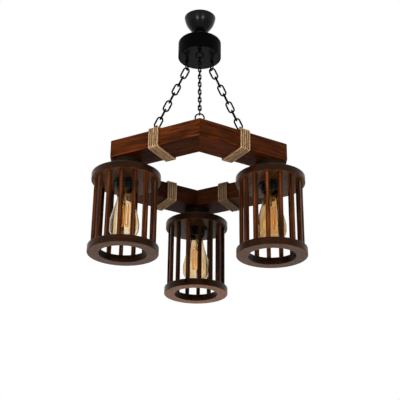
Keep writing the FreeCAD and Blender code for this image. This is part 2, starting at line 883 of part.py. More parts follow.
def main():
    """Build every node and write it as a STEP file."""
    os.makedirs("parts", exist_ok=True)
    total = 0
    for name, shape in model().items():
        shape.exportStep("parts/" + name + ".step")
        total += len(shape.Solids)
        print(name, "solids", len(shape.Solids), "volume", round(shape.Volume, 1), "mm3", shape.isValid())
    print("solids in all", total)


main()
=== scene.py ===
"""Dressed scene of a hexagonal timber chandelier with three slatted lamp cages.

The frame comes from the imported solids. Each operator makes one piece, or a group of like
pieces, in metres in the row frame, and main() calls them in order.
"""
import random
from collections import namedtuple
from math import atan2, cos, degrees, exp, pi, radians, sin, sqrt, tan

import bmesh
import bpy
from bpy.props import FloatProperty, FloatVectorProperty, IntProperty, PointerProperty
from mathutils import Matrix, Vector


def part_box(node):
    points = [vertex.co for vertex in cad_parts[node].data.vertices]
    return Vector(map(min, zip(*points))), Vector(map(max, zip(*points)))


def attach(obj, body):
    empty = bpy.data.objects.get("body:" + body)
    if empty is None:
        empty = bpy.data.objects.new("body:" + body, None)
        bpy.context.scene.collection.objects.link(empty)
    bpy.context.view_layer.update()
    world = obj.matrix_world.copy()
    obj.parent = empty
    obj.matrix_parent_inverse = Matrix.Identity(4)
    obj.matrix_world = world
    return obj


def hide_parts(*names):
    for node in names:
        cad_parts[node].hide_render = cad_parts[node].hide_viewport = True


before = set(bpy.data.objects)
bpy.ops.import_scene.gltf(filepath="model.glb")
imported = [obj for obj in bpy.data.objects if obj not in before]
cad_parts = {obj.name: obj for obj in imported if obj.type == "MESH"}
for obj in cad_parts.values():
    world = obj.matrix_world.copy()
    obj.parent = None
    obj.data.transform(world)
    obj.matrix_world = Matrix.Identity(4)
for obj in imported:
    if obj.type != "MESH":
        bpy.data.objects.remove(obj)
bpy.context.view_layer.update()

bl_info = {
    "name": "Timber chandelier",
    "version": (1, 0, 0),
    "blender": (4, 5, 0),
    "location": "3D View > Sidebar > Chandelier",
    "description": "Makes the visible pieces of a timber chandelier round its packed solids",
    "category": "Object",
}

Z_AXIS = Vector((0.0, 0.0, 1.0))
ORIGIN = Vector((0.0, 0.0, 0.0))
SIXTH_TURN = 60.0
QUARTER_TURN = 90
WHOLE_TURN = 360
HALF_CORNER = radians(SIXTH_TURN / 2)
CREASE_ANGLE = radians(38)
# Turnings narrower than this come to a point on their axis
POINT_RADIUS = 1e-7
# Decimals of a metre to which two places are compared
PLACE_DIGITS = 6

LAMP_SIDES = ("left", "right", "rear")
SLAT_PHASES = {"left": -4.0, "right": -11.5, "rear": 6.5}
CHAIN_AZIMUTHS = {"front": 0.0, "left": -2 * SIXTH_TURN, "right": 2 * SIXTH_TURN}
REAR_TURN_SIGNS = {"front": 0, "left": 1, "right": -1}
BEAM_NAMES = ("front_right", "right", "rear_right", "rear_left", "left", "front_left")

# How light each piece is painted: the beam, winding and cage tones are painted light and shade, darkest on
# the pieces at the back, and the underside tones are painted light on the undersides. The slat tones are
# the random spread of the slats' own wood
BEAM_SHADE_TONES = dict(zip(BEAM_NAMES, (0.60, 0.62, 0.30, 0.26, 0.9, 1.0)))
BEAM_UNDERSIDE_LIGHT = dict(zip(BEAM_NAMES, (1.5, 1.0, 0.7, 0.8, 0.9, 1.05)))
TWINE_LIGHT_AND_SHADE = dict(zip(BEAM_NAMES, (1.22, 1.0, 0.62, 1.0, 1.0, 1.18)))
TWINE_UNDERSIDE_LIGHT = dict(zip(BEAM_NAMES, (1.2, 1.6, 1.5, 1.5, 1.6, 1.7)))
CAGE_SHADE_TONES = {"left": 0.95, "right": 1.0, "rear": 0.46}
RING_UNDERSIDE_LIGHT = {"left": 0.97, "right": 0.98, "rear": 2.4}
SLAT_TONES = (0.6, 1.45)
# How light the painted highlight along a beam's lower edges, and the painted shade on the arrises of a
# slat, are against their faces
EDGE_HIGHLIGHT_TONE = 2.2
ARRIS_SHADE_TONE = 0.30
# Nothing for glass as deep as its coating, one for glass with light streaks
GLASS_TONES = {"left": 1.0, "right": 0.0, "rear": 0.75}

# Finish of each solid that stays as it is
SOLID_FINISHES = {
    "stem": "Zinc", "hinge_pin": "Zinc", "stem_nut": "Zinc", "eye_bolt_nuts": "Zinc",
    "cup_grub_screw": "Zinc", "terminal_block": "White nylon", "mitre_tenons": "Stained timber",
}


# Settings


def length(name, default, description):
    """Property for a length in metres."""
    return FloatProperty(name=name, description=description, default=default, min=0.0,
                         precision=5, unit="LENGTH")


def angle(name, default, description):
    """Property for an angle."""
    return FloatProperty(name=name, description=description, default=radians(default),
                         subtype="ANGLE")


def colour(name, default, description):
    """Property for a linear colour."""
    return FloatVectorProperty(name=name, description=description, default=default, size=3,
                               min=0.0, max=1.0, subtype="COLOR")


def share(name, default, description):
    """Property for a factor from nothing to all."""
    return FloatProperty(name=name, description=description, default=default, min=0.0, max=1.0,
                         subtype="FACTOR")


def count(name, default, description):
    """Property for a number of like things."""
    return IntProperty(name=name, description=description, default=default, min=1)


def power(name, default, description):
    """Property for the power of a lamp."""
    return FloatProperty(name=name, description=description, default=default, min=0.0, unit="POWER")


def strength(name, default, description):
    """Property for the strength of a light without a lamp."""
    return FloatProperty(name=name, description=description, default=default, min=0.0)


class StageSettings(bpy.types.PropertyGroup):
    """Camera, lamps and floor."""

    place: FloatVectorProperty(
        name="Camera place", description="Where the camera stands, below and in front",
        default=(-0.018226, -1.813312, -1.269920), size=3, precision=5, subtype="TRANSLATION",
        unit="LENGTH")
    yaw: angle("Camera yaw", 0.735, "Turn to the right from straight ahead")
    pitch: angle("Camera pitch", 23.654, "Turn upwards from level")
    roll: angle("Camera roll", 0.665, "Turn about the line of sight")
    lens: FloatProperty(
        name="Lens", description="Focal length on a sensor 36 mm wide", default=79.51, min=1.0,
        unit="CAMERA")
    floor_drop: length("Floor drop", 2.6, "From the hanging eye down to the floor")
    floor_radius: length("Floor radius", 14.0, "Reach of the floor from the middle")
    floor_colour: colour("Floor colour", (0.72, 0.715, 0.70), "Pale matt floor")
    floor_white_share: share("Floor lift", 0.5, "How far the floor is lifted to white to the eye")
    ambient: strength("Ambient light", 0.27, "Strength of the even light from all round")
    ambient_colour: colour("Ambient colour", (1.0, 1.0, 1.0), "Colour of the even light")
    lamp_distance: length("Lamp distance", 2.6, "From the middle of the timber frame to each lamp")
    lamp_azimuth: angle("Lamp azimuth", 22.0, "Of the two front lamps, either side of the camera")
    lamp_rise: angle("Lamp rise", -7.0, "Height of the two front lamps, as an angle")
    rear_rise: angle("Rear rise", 58.0, "Height of the lamp behind, as an angle")
    lamp_size: length("Lamp size", 0.28, "Across each front lamp")
    lamp_power: power("Lamp power", 24.0, "Power of each front lamp")
    key_azimuth: angle("Key azimuth", -52.0, "Of the large lamp on the left")
    key_rise: angle("Key rise", 12.0, "Height of the large lamp on the left, as an angle")
    key_size: length("Key size", 2.0, "Across the large lamps on the left and behind")
    key_power: power("Key power", 22.0, "Power of the large lamp on the left")
    rear_power: power("Rear power", 14.0, "Power of the large lamp behind")


class TimberSettings(bpy.types.PropertyGroup):
    """Six mitred beams."""

    corner_radius: length("Corner radius", 0.220, "From the middle of the frame to its outer corners")
    width: length("Beam width", 0.068, "Width of a beam, seen from above")
    arris: length("Arris", 0.0019, "Rounding of a beam's long edges")
    mitre_arris: length("Mitre arris", 0.0008, "Rounding of a beam's edges at the mitres")
    light: colour("Light timber", (0.190, 0.041, 0.0072), "Lighter wood between the dark streaks")
    dark: colour("Dark timber", (0.014, 0.0031, 0.0010), "Dark streaks where the stain has gone in")
    sheen: colour("Oil sheen", (1.0, 0.50, 0.25), "Tint of what the oiled wood reflects")
    roughness: share("Timber roughness", 0.42, "Roughness of the oiled timber")
    ring_spacing: length("Ring spacing", 0.0085, "Distance between growth rings")


class TwineSettings(bpy.types.PropertyGroup):
    """Jute wound on the beams."""

    diameter: length("Twine diameter", 0.0046, "Thickness of the twine")
    pitch: length("Twine pitch", 0.0051, "From one turn to the next")
    turns: count("Twine turns", 5, "Turns of one winding")
    clearance: length("Twine clearance", 0.0003, "Between the twine and the wood")
    corner_reach: length("Twine corner", 0.0070, "How far from a corner the twine starts to bend")
    lay_length: length("Lay length", 0.0165, "Length over which the strands go once round")
    strands: count("Strands", 3, "Strands twisted into the twine")
    fibres: count("Stray fibres", 240, "Stray fibres on one winding")
    light: colour("Light jute", (0.780, 0.485, 0.240), "Raised fibres")
    dark: colour("Dark jute", (0.160, 0.088, 0.040), "Fibres in the hollows")


class CageSettings(bpy.types.PropertyGroup):
    """Spacers, discs, slats and rings of the lamp cages."""

    disc_hole: length("Disc hole", 0.0206, "Radius of the hole for the lamp holder")
    ring_hole: length("Ring hole", 0.050, "Radius of the hole in the bottom ring")
    edge: length("Turned edge", 0.0016, "Rounding of the discs and rings")
    slats: count("Slats", 15, "Slats in one cage")
    slat_width: length("Slat width", 0.0088, "Width of a slat's face, seen from outside the cage")
    slat_depth: length("Slat depth", 0.0072, "Size of a slat towards the middle of the cage")
    slat_inset: length("Slat inset", 0.0064, "From the discs' edges in to the slats' faces")
    slat_arris: length("Slat arris", 0.0013, "Rounding of the slats")
    spacer_hole: length("Spacer hole", 0.0053, "Radius of the hole for the threaded tube")
    spacer_roof: length("Spacer roof", 0.006, "Thickness left above the lamp holder")
    face_light: colour("Light face", (0.280, 0.105, 0.032), "Flat faces of the discs and rings")
    face_dark: colour("Dark face", (0.080, 0.026, 0.007), "Stain in the grain of the flat faces")
    edge_light: colour("Light edge", (0.030, 0.0088, 0.0034), "Turned edges of the discs and rings")
    edge_dark: colour("Dark edge", (0.004, 0.0016, 0.0010), "Stain in the grain of the turned edges")
    slat_light: colour("Light slat", (0.300, 0.074, 0.017), "Lighter wood of the slats")
    slat_dark: colour("Dark slat", (0.012, 0.0036, 0.0016), "Stain in the slats' grain")
    spacer_colour: colour("Spacer colour", (0.010, 0.0065, 0.0050), "Near black stain of the spacers")


class LampSettings(bpy.types.PropertyGroup):
    """Holders, shade rings, threaded tubes, washers and nuts."""

    holder_radius: length("Holder radius", 0.020, "Outside of the lamp holder")
    cavity_radius: length("Holder cavity", 0.0135, "Inside of the lamp holder, round the cap")
    mouth_radius: length("Holder mouth", 0.016, "Inside of the lamp holder, round the neck of the glass")
    roof: length("Holder roof", 0.025, "From the contact to the top of the holder")
    shade_ring_radius: length("Shade ring radius", 0.026, "Outside of the ring under the disc")
    tube_radius: length("Tube radius", 0.005, "Outside of the threaded tube")
    tube_bore: length("Tube bore", 0.0035, "Inside of the threaded tube")
    tube_depth: length("Tube depth", 0.009, "How far the tube goes into the holder")
    tube_pitch: length("Tube pitch", 0.001, "Pitch of the tube's thread")
    threaded_length: length("Threaded length", 0.014, "Length of the thread at the tube's top")
    washer_radius: length("Washer radius", 0.012, "Outside of the washer")
    nut_width: length("Nut width", 0.014, "Across the flats of the nut")
    knurls: count("Knurls", 44, "Grip ribs round the shade ring")
    plastic: colour("Black moulding", (0.0050, 0.0050, 0.0054), "Moulding of the holders")
    steel: colour("Zinc", (0.42, 0.43, 0.44), "Zinc plating of the hidden fixings")


class BulbSettings(bpy.types.PropertyGroup):
    """Pear-shaped filament bulbs."""

    glass_wall: length("Glass wall", 0.0009, "Thickness of the glass")
    cap_radius: length("Cap radius", 0.0132, "Outside of the screw cap")
    cap_wall: length("Cap wall", 0.0008, "Thickness of the cap")
    cap_pitch: length("Cap pitch", 0.00363, "Pitch of the cap's thread")
    cap_thread_depth: length("Cap thread depth", 0.0009, "Depth of the cap's thread")
    tip_radius: length("Tip radius", 0.005, "Contact at the end of the cap")
    stalk_radius: length("Stalk radius", 0.0022, "Glass stalk that carries the filament")
    wire: length("Filament wire", 0.0023, "Thickness of a filament")
    inner_radius: length("Hairpin inner radius", 0.0032, "Inner leg of a filament hairpin")
    outer_radius: length("Hairpin outer radius", 0.011, "Outer leg of a filament hairpin")
    press_drop: length("Press drop", 0.016, "How far below the stalk's flare the hairpins start")
    hairpins: count("Hairpins", 4, "Filament hairpins round the stalk")
    amber: colour("Amber", (0.98, 0.92, 0.77), "Tint of the glass")
    amber_deep: colour("Deep amber", (0.70, 0.52, 0.29), "Tint of the glass where its coating is thick")
    glow: colour("Glow", (1.0, 0.36, 0.0), "Colour of the filament")
    glow_strength: strength("Glow strength", 0.60, "Strength of the filament's light")
    brass: colour("Brass", (0.34, 0.23, 0.10), "Metal of the cap")


class CanopySettings(bpy.types.PropertyGroup):
    """Canopy, eye bolts, hanging loop and ceiling cup."""

    radius: length("Canopy radius", 0.0515, "Outside of the canopy")
    wall: length("Canopy wall", 0.0016, "Thickness of the spun cover")
    edge: length("Canopy edge", 0.0042, "Rounding of the cover's top edge")
    boss_radius: length("Boss radius", 0.010, "Boss that takes the stem")
    boss_height: length("Boss height", 0.0165, "Height of the boss above the plate")
    boss_floor: length("Boss floor", 0.0025, "How far the stem stops above the plate's middle")
    stem_radius: length("Stem radius", 0.006, "Stem between the hanging loop and the canopy")
    stem_gap: length("Stem gap", 0.0003, "Between the stem and what slides on it")
    cup_radius: length("Cup radius", 0.038, "Outside of the ceiling cup's rim")
    cup_depth: length("Cup depth", 0.043, "Depth of the ceiling cup's bowl")
    cup_wall: length("Cup wall", 0.002, "Thickness of the ceiling cup")
    collar_radius: length("Collar radius", 0.011, "Collar of the ceiling cup")
    loop_bore: length("Loop bore", 0.006, "Hole of the hanging loop")
    loop_radius: length("Loop radius", 0.011, "Outside of the hanging loop")
    loop_thickness: length("Loop thickness", 0.004, "Thickness of the hanging loop")
    tongue: length("Loop tongue", 0.0086, "Width of the tongue below the loop")
    pin_drop: length("Pin drop", 0.014, "From the hanging eye down to the hinge pin")
    pin_hole: length("Pin hole", 0.00225, "Radius of the tongue's hole for the hinge pin")
    paint: colour("Black paint", (0.0010, 0.0010, 0.0012), "Powder coat of the canopy")
    # The plate is a smoother, glossier coat, and it is painted lighter than the cover as painted light on
    # the underside
    lit_plate_paint: colour("Plate paint", (0.0030, 0.0030, 0.0030), "Smooth coat of the canopy's bottom plate")
    cup_colour: colour("Cup colour", (0.0012, 0.0012, 0.0013), "Moulding of the ceiling cup")


class ChainSettings(bpy.types.PropertyGroup):
    """Chains, eye bolts and eye screws."""

    eye_wire: length("Eye wire", 0.0032, "Thickness of the eyes")
    front_wire: length("Front wire", 0.0029, "Thickness of the front chain's links")
    front_width: length("Front link width", 0.0088, "Outside width of a link of the front chain")
    front_links: count("Front links", 15, "Links of the front chain")
    rear_wire: length("Rear wire", 0.0041, "Thickness of the rear chains' links")
    rear_width: length("Rear link width", 0.0174, "Outside width of a link of the rear chains")
    rear_links: count("Rear links", 12, "Links of each rear chain")
    gap: length("Joint gap", 0.0003, "Between two links")
    front_turn: angle("Front chain turn", 14.0, "How far the front chain is turned about its own line")
    rear_turn: angle("Rear chain turn", 37.0, "How far the rear chains are turned about their own lines")
    rear_eye_turn: angle("Rear eye turn", 10.0, "How far the canopy's rear eyes are turned")
    turned_back: count("Turned back links", 4, "Last links, which turn back to suit the lower eye")
    eye_circle: length("Eye circle", 0.035, "From the canopy's middle to its eye bolts")
    canopy_eye: length("Canopy eye", 0.010, "Outside radius of the canopy's eyes")
    canopy_eye_drop: length("Canopy eye drop", 0.016, "From the plate down to the middle of an eye")
    frame_eye: length("Frame eye", 0.011, "Outside radius of the eyes on the frame")
    frame_eye_rise: length("Frame eye rise", 0.022, "From the frame up to the middle of an eye")
    frame_circle: length("Frame circle", 0.179, "From the frame's middle to its fixings")
    collar: length("Eye collar", 0.0045, "Radius of the collar on an eye bolt")
    collar_height: length("Eye collar height", 0.0025, "Height of the collar on an eye bolt")
    flange: length("Eye flange", 0.0055, "Radius of the flange on an eye screw")
    flange_height: length("Eye flange height", 0.002, "Height of the flange on an eye screw")
    shank: length("Eye shank", 0.0025, "Radius of the threaded shanks")
    lacquer: colour("Chain lacquer", (0.0014, 0.0014, 0.0015), "Black lacquer of the chain")


class ChandelierSettings(bpy.types.PropertyGroup):
    """All settings of the chandelier."""

    stage: PointerProperty(name="Stage", description="Camera, lamps and floor", type=StageSettings)
    timber: PointerProperty(name="Timber", description="Beams of the frame", type=TimberSettings)
    twine: PointerProperty(name="Twine", description="Jute windings", type=TwineSettings)
    cage: PointerProperty(name="Cages", description="Slatted lamp cages", type=CageSettings)
    lamp: PointerProperty(name="Lamps", description="Lamp holders and fixings", type=LampSettings)
    bulb: PointerProperty(name="Bulbs", description="Filament bulbs", type=BulbSettings)
    canopy: PointerProperty(name="Canopy", description="Canopy and ceiling cup", type=CanopySettings)
    chain: PointerProperty(name="Chains", description="Chains and eyes", type=ChainSettings)


# Places and outlines


def radial(azimuth):
    """Direction out from the middle at an azimuth in degrees."""
    return Vector((sin(radians(azimuth)), -cos(radians(azimuth)), 0.0))


def tangent(azimuth):
    """Direction along the circle at an azimuth in degrees."""
    return Vector((cos(radians(azimuth)), sin(radians(azimuth)), 0.0))


def middle_of(node):
    """Upright line through the middle of a node, as a point at height zero."""
    low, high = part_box(node)
    return Vector(((low.x + high.x) / 2, (low.y + high.y) / 2, 0.0))


def lamp_middle(side):
    """Upright line through the middle of a lamp and its cage."""
    return middle_of("cage_ring_" + side)


def heights_of(node):
    """Lowest and highest point of a node."""
    low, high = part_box(node)
    return low.z, high.z


def span(node, axis):
    """Size of a node along one axis of the frame."""
    low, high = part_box(node)
    return high[axis] - low[axis]


def rounded_outline(corners, closed=False, steps=4):
    """Outline from (radius, height, bend) corners, with each corner taken round its bend."""
    points = []
    for i, (radius, height, bend) in enumerate(corners):
        here = Vector((radius, height))
        if bend == 0 or (not closed and i in (0, len(corners) - 1)):
            points.append(here)
            continue
        before = Vector(corners[i - 1][:2]) - here
        after = Vector(corners[(i + 1) % len(corners)][:2]) - here
        half = before.angle(after) / 2
        reach = min(bend / tan(half), before.length / 2, after.length / 2)
        middle = here + (before.normalized() + after.normalized()).normalized() * (reach / cos(half))
        first = here + before.normalized() * reach - middle
        last = here + after.normalized() * reach - middle
        start = atan2(first.y, first.x)
        sweep = (atan2(last.y, last.x) - start + pi) % (2 * pi) - pi
        for step in range(steps + 1):
            turn = start + sweep * step / steps
            points.append(middle + Vector((cos(turn), sin(turn))) * first.length)
    return points


def smooth_outline(points, steps):
    """Smooth line through outline points, with a number of steps between each two."""
    line = []
    for i in range(len(points) - 1):
        before = points[max(i - 1, 0)]
        here = points[i]
        there = points[i + 1]
        after = points[min(i + 2, len(points) - 1)]
        for step in range(steps):
            t = step / steps
            bend = (here * 2 + (there - before) * t
                    + (before * 2 - here * 5 + there * 4 - after) * t ** 2
                    + (here * 3 - before - there * 3 + after) * t ** 3)
            line.append(bend / 2)
    line.append(points[-1])
    return line


def inset_outline(points, wall):
    """The same outline moved inwards by a wall thickness, for one drawn from top to bottom."""
    inner = []
    for i, point in enumerate(points):
        run = points[min(i + 1, len(points) - 1)] - points[max(i - 1, 0)]
        run.normalize()
        moved = point + Vector((run.y, -run.x)) * wall
        inner.append(Vector((max(moved.x, 0.0), moved.y)))
    return inner


def spline_points(controls, resolution):
    """Points along the smooth spline that a list of control points steers."""
    curve = bpy.data.curves.new("route", "CURVE")
    curve.dimensions = "3D"
    spline = curve.splines.new("NURBS")
    spline.points.add(len(controls) - 1)
    for point, place in zip(spline.points, controls):
        point.co = (*place, 1.0)
    spline.order_u = 3
    spline.use_endpoint_u = True
    spline.resolution_u = resolution
    carrier = bpy.data.objects.new("route", curve)
    mesh = bpy.data.meshes.new_from_object(carrier)
    points = [vertex.co.copy() for vertex in mesh.vertices]
    bpy.data.objects.remove(carrier)
    bpy.data.meshes.remove(mesh)
    bpy.data.curves.remove(curve)
    return points


def evenly_spaced(points, step):
    """Points at equal distances along a line of points."""
    spaced = [points[0]]
    left = step
    for here, there in zip(points[:-1], points[1:]):
        run = (there - here).length
        while left <= run:
            spaced.append(here.lerp(there, left / run))
            left += step
        left -= run
    return spaced


def path_frames(path, closed=False, first_side=None):
    """Direction and two sides at each point of a path, turned as little as possible along it."""
    frames = []
    side = first_side
    for i, point in enumerate(path):
        before = path[i - 1] if closed or i > 0 else point
        after = path[(i + 1) % len(path)] if closed or i < len(path) - 1 else point
        ahead = (after - before).normalized()
        if side is None:
            side = ahead.orthogonal()
        side = (side - ahead * side.dot(ahead)).normalized()
        frames.append((ahead, side, ahead.cross(side)))
    return frames


# Meshes


class Work:
    """A mesh in the making.

    Its grain layer holds each point's place in its board or strand, and its tone layer how much lighter or
    darker the point is coloured: the random tone of its wood or fibre, times painted light and shade.
    """

    # Metres by which the grain moves on from one board's seed to the next
    GRAIN_STEPS = (0.37, 0.11, 0.23)

    def __init__(self):
        self.mesh = bmesh.new()
        self.grain = self.mesh.verts.layers.float_vector.new("grain")
        self.tone = self.mesh.verts.layers.float.new("tone")

    def lay_grain(self, origin, along, across, seed, tone=1.0):
        """Give the points made since the last call their place and tone in one board."""
        up = along.cross(across)
        shift = Vector([seed * step for step in self.GRAIN_STEPS])
        for point in self.mesh.verts:
            if point[self.grain].length == 0:
                reach = point.co - origin
                point[self.grain] = Vector((reach.dot(along), reach.dot(across), reach.dot(up))) + shift
                point[self.tone] = tone

    def skin(self, rings, closed=False):
        """Faces between each ring of points and the next. A ring may be a single point."""
        steps = max(len(ring) for ring in rings)
        pairs = list(zip(rings[:-1], rings[1:]))
        if closed:
            pairs.append((rings[-1], rings[0]))
        for low, high in pairs:
            for k in range(steps):
                j = (k + 1) % steps
                corners = (low[k % len(low)], low[j % len(low)], high[j % len(high)], high[k % len(high)])
                corners = list(dict.fromkeys(corners))
                if len(corners) > 2:
                    self.mesh.faces.new(corners)

    def add_turned(self, outline, steps, centre=ORIGIN, closed=False, reach=None):
        """Turning about an upright axis. reach gives the radius where it changes with the angle."""
        rings = []
        for radius, height in outline:
            if radius < POINT_RADIUS:
                rings.append([self.mesh.verts.new(centre + Z_AXIS * height)])
                continue
            ring = []
            for k in range(steps):
                turn = 2 * pi * k / steps
                out = reach(radius, height, turn) if reach else radius
                place = centre + Vector((out * cos(turn), out * sin(turn), height))
                ring.append(self.mesh.verts.new(place))
            rings.append(ring)
        self.skin(rings, closed)

    def add_tube(self, path, thickness, sides, closed=False, first_side=None, seed=0.0, tone=None):
        """Round bar along a path.

        thickness may give the radius at each step, and tone the tone of each point.
        """
        rings = []
        travelled = 0.0
        for i, (_, side, up) in enumerate(path_frames(path, closed, first_side)):
            radius = thickness(i) if callable(thickness) else thickness
            travelled += (path[i] - path[i - 1]).length if i else 0.0
            ring = []
            for k in range(sides):
                turn = 2 * pi * k / sides
                place = path[i] + side * (radius * cos(turn)) + up * (radius * sin(turn))
                point = self.mesh.verts.new(place)
                point[self.grain] = Vector((travelled, radius * turn, seed))
                point[self.tone] = tone(i, point.co) if tone else 1.0
                ring.append(point)
            rings.append(ring)
        self.skin(rings, closed)
        if not closed:
            self.mesh.faces.new(rings[0])
            self.mesh.faces.new(rings[-1])

    def add_prism(self, low_ring, high_ring):
        """Straight solid between two rings of corners."""
        low = [self.mesh.verts.new(point) for point in low_ring]
        high = [self.mesh.verts.new(point) for point in high_ring]
        self.mesh.faces.new(low)
        self.mesh.faces.new(high)
        self.skin((low, high))

    def round_edges(self, edges, radius, segments):
        """Round some edges of the mesh."""
        bmesh.ops.bevel(self.mesh, geom=list(edges), offset=radius, segments=segments, profile=0.5,
                        affect="EDGES", clamp_overlap=True)

    def put_in_order(self):
        """Sort points and faces by place, because a bevel lists them differently in each run."""
        for parts, place in ((self.mesh.verts, lambda point: point.co),
                             (self.mesh.faces, lambda face: face.calc_center_median())):
            ranked = sorted(parts, key=lambda part: place(part).to_tuple(PLACE_DIGITS))
            ranks = {part: rank for rank, part in enumerate(ranked)}
            parts.sort(key=ranks.get)

    def piece(self, name, finish, node, body="pendant", crisp=True):
        """Turn the work into a piece that rides on a body and stands for a node."""
        bmesh.ops.recalc_face_normals(self.mesh, faces=self.mesh.faces)
        data = bpy.data.meshes.new(name)
        self.mesh.to_mesh(data)
        self.mesh.free()
        data.materials.append(bpy.data.materials[finish])
        data.shade_smooth()
        made = bpy.data.objects.new(name, data)
        bpy.context.scene.collection.objects.link(made)
        if crisp:
            data.set_sharp_from_angle(angle=CREASE_ANGLE)
            weights = made.modifiers.new("Face weights", "WEIGHTED_NORMAL")
            weights.keep_sharp = True
        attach(made, body)
        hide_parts(node)


def turned_piece(name, finish, node, outline, steps, centre=ORIGIN, body="pendant", crisp=True,
                 closed=True, reach=None):
    """A piece that is one turning. closed tells an outline that comes back to its start."""
    work = Work()
    work.add_turned(outline, steps, centre, closed, reach)
    work.piece(name, finish, node, body, crisp)


# Shader nodes


def feed(tree, node, inputs):
    """Give a node's inputs values or other nodes' sockets."""
    for key, value in inputs.items():
        if isinstance(value, bpy.types.NodeSocket):
            tree.links.new(value, node.inputs[key])
        else:
            node.inputs[key].default_value = value


def put(tree, kind, inputs, **settings):
    """A new node with its settings and inputs."""
    node = tree.nodes.new(kind)
    for name, value in settings.items():
        setattr(node, name, value)
    feed(tree, node, inputs)
    return node


def arithmetic(tree, operation, first, second=0.0, third=0.0):
    """Output of a sum."""
    return put(tree, "ShaderNodeMath", {0: first, 1: second, 2: third}, operation=operation).outputs[0]


def weighted(tree, *parts):
    """Output of a sum of sockets, each times its weight."""
    total = 0.0
    for socket, weight in parts:
        total = arithmetic(tree, "MULTIPLY_ADD", socket, weight, total)
    return total


def vector_sum(tree, operation, inputs):
    """Output of a sum of places or colours."""
    return put(tree, "ShaderNodeVectorMath", inputs, operation=operation).outputs[0]


def noise(tree, place, scales, detail, roughness=0.55):
    """Output of an even noise over a place with each axis scaled."""
    stretched = vector_sum(tree, "MULTIPLY", {0: place, 1: scales})
    return put(tree, "ShaderNodeTexNoise",
               {"Vector": stretched, "Scale": 1.0, "Detail": detail, "Roughness": roughness}).outputs[0]


def ranged(tree, value, low, high, to_low=0.0, to_high=1.0):
    """Output of a value carried from one range to another, and held in it."""
    return put(tree, "ShaderNodeMapRange", {
        "Value": value, "From Min": low, "From Max": high, "To Min": to_low, "To Max": to_high}).outputs[0]


def mixed(tree, factor, first, second):
    """Output of a mix of two colours."""
    return put(tree, "ShaderNodeMix", {0: factor, 6: first, 7: second}, data_type="RGBA").outputs[2]


def toned(tree, colour_socket, tone):
    """Output of a colour made lighter or darker by a tone."""
    return vector_sum(tree, "SCALE", {0: colour_socket, "Scale": tone})


def bump(tree, height, distance):
    """Output of a normal that a height tilts."""
    return put(tree, "ShaderNodeBump", {"Strength": 1.0, "Distance": distance, "Height": height}).outputs[0]


def layer(tree, name, output):
    """Output of one of the layers that Work lays on a mesh."""
    return put(tree, "ShaderNodeAttribute", {}, attribute_name=name).outputs[output]


def object_place(tree):
    """Output of each point's place in its object."""
    return put(tree, "ShaderNodeTexCoord", {}).outputs["Object"]


def opaque(values):
    """A colour as four numbers."""
    return (*values, 1.0)


def dimmed(values, factor):
    """A colour made darker or lighter."""
    return [part * factor for part in values]


# Shared groups

# Noises: repeats per metre along, across and through a board or strand, detail and roughness
DRIFT_NOISE = ((2.6, 7.0, 7.0), 2.0)
STREAK_NOISE = ((7.0, 190.0, 190.0), 4.0, 0.66)
FIBRE_NOISE = ((26.0, 620.0, 620.0), 3.0, 0.6)
BLOTCH_NOISE = ((11.0, 24.0, 24.0), 2.0)
FLECK_NOISE = ((20.0, 300.0, 300.0), 2.0)
PORE_NOISE = ((55.0, 1300.0, 1300.0), 2.0)
JUTE_NOISE = ((150.0, 2600.0, 7.0), 3.0, 0.65)
JUTE_PATCH_NOISE = ((28.0, 90.0, 7.0), 2.0)
BROAD_NOISE = ((38.0, 38.0, 38.0), 3.0)
FINE_NOISE = ((900.0, 900.0, 900.0), 2.0)

# Timber: how far the grain drifts in metres, and where the heart of the tree lies
DRIFT_REACH = 0.045
HEART_SCALES = (0.03, 1.0, 1.0)
HEART_OFFSET = (0.0, 0.055, 0.105)
# Timber: shares of its marks in the colour, the height and the dryness
RING_SHARE = 0.020
STREAK_SHARE = 0.44
FIBRE_SHARE = 0.30
BLOTCH_SHARE = 0.38
FLECK_SHARE = 0.72
PORE_SHARE = 0.55
FIBRE_HEIGHT = 0.7
PORE_DEPTH = 0.6
LIGHT_DRYNESS = 0.5
PORE_DRYNESS = 0.4
# Where a mark starts and where it is full
STAIN_RANGE = (0.44, 0.75)
FLECK_RANGE = (0.56, 0.66)
PORE_RANGE = (0.60, 0.68)
JUTE_RANGE = (0.38, 0.72)
MOTTLE_RANGE = (0.35, 0.65)

# Jute: slant of the fibres on a strand, and shares of fibres and patches in the colour
JUTE_SLANT = 0.45
JUTE_FIBRE_SHARE = 0.65
JUTE_PATCH_SHARE = 0.45


def group_of(name, inputs, outputs):
    """A new node group, the sockets of its inputs, and the node that its outputs go to."""
    tree = bpy.data.node_groups.new(name, "ShaderNodeTree")
    for sockets, in_out in ((inputs, "INPUT"), (outputs, "OUTPUT")):
        for socket, kind in sockets.items():
            tree.interface.new_socket(socket, in_out=in_out, socket_type="NodeSocket" + kind)
    return tree, tree.nodes.new("NodeGroupInput").outputs, tree.nodes.new("NodeGroupOutput")


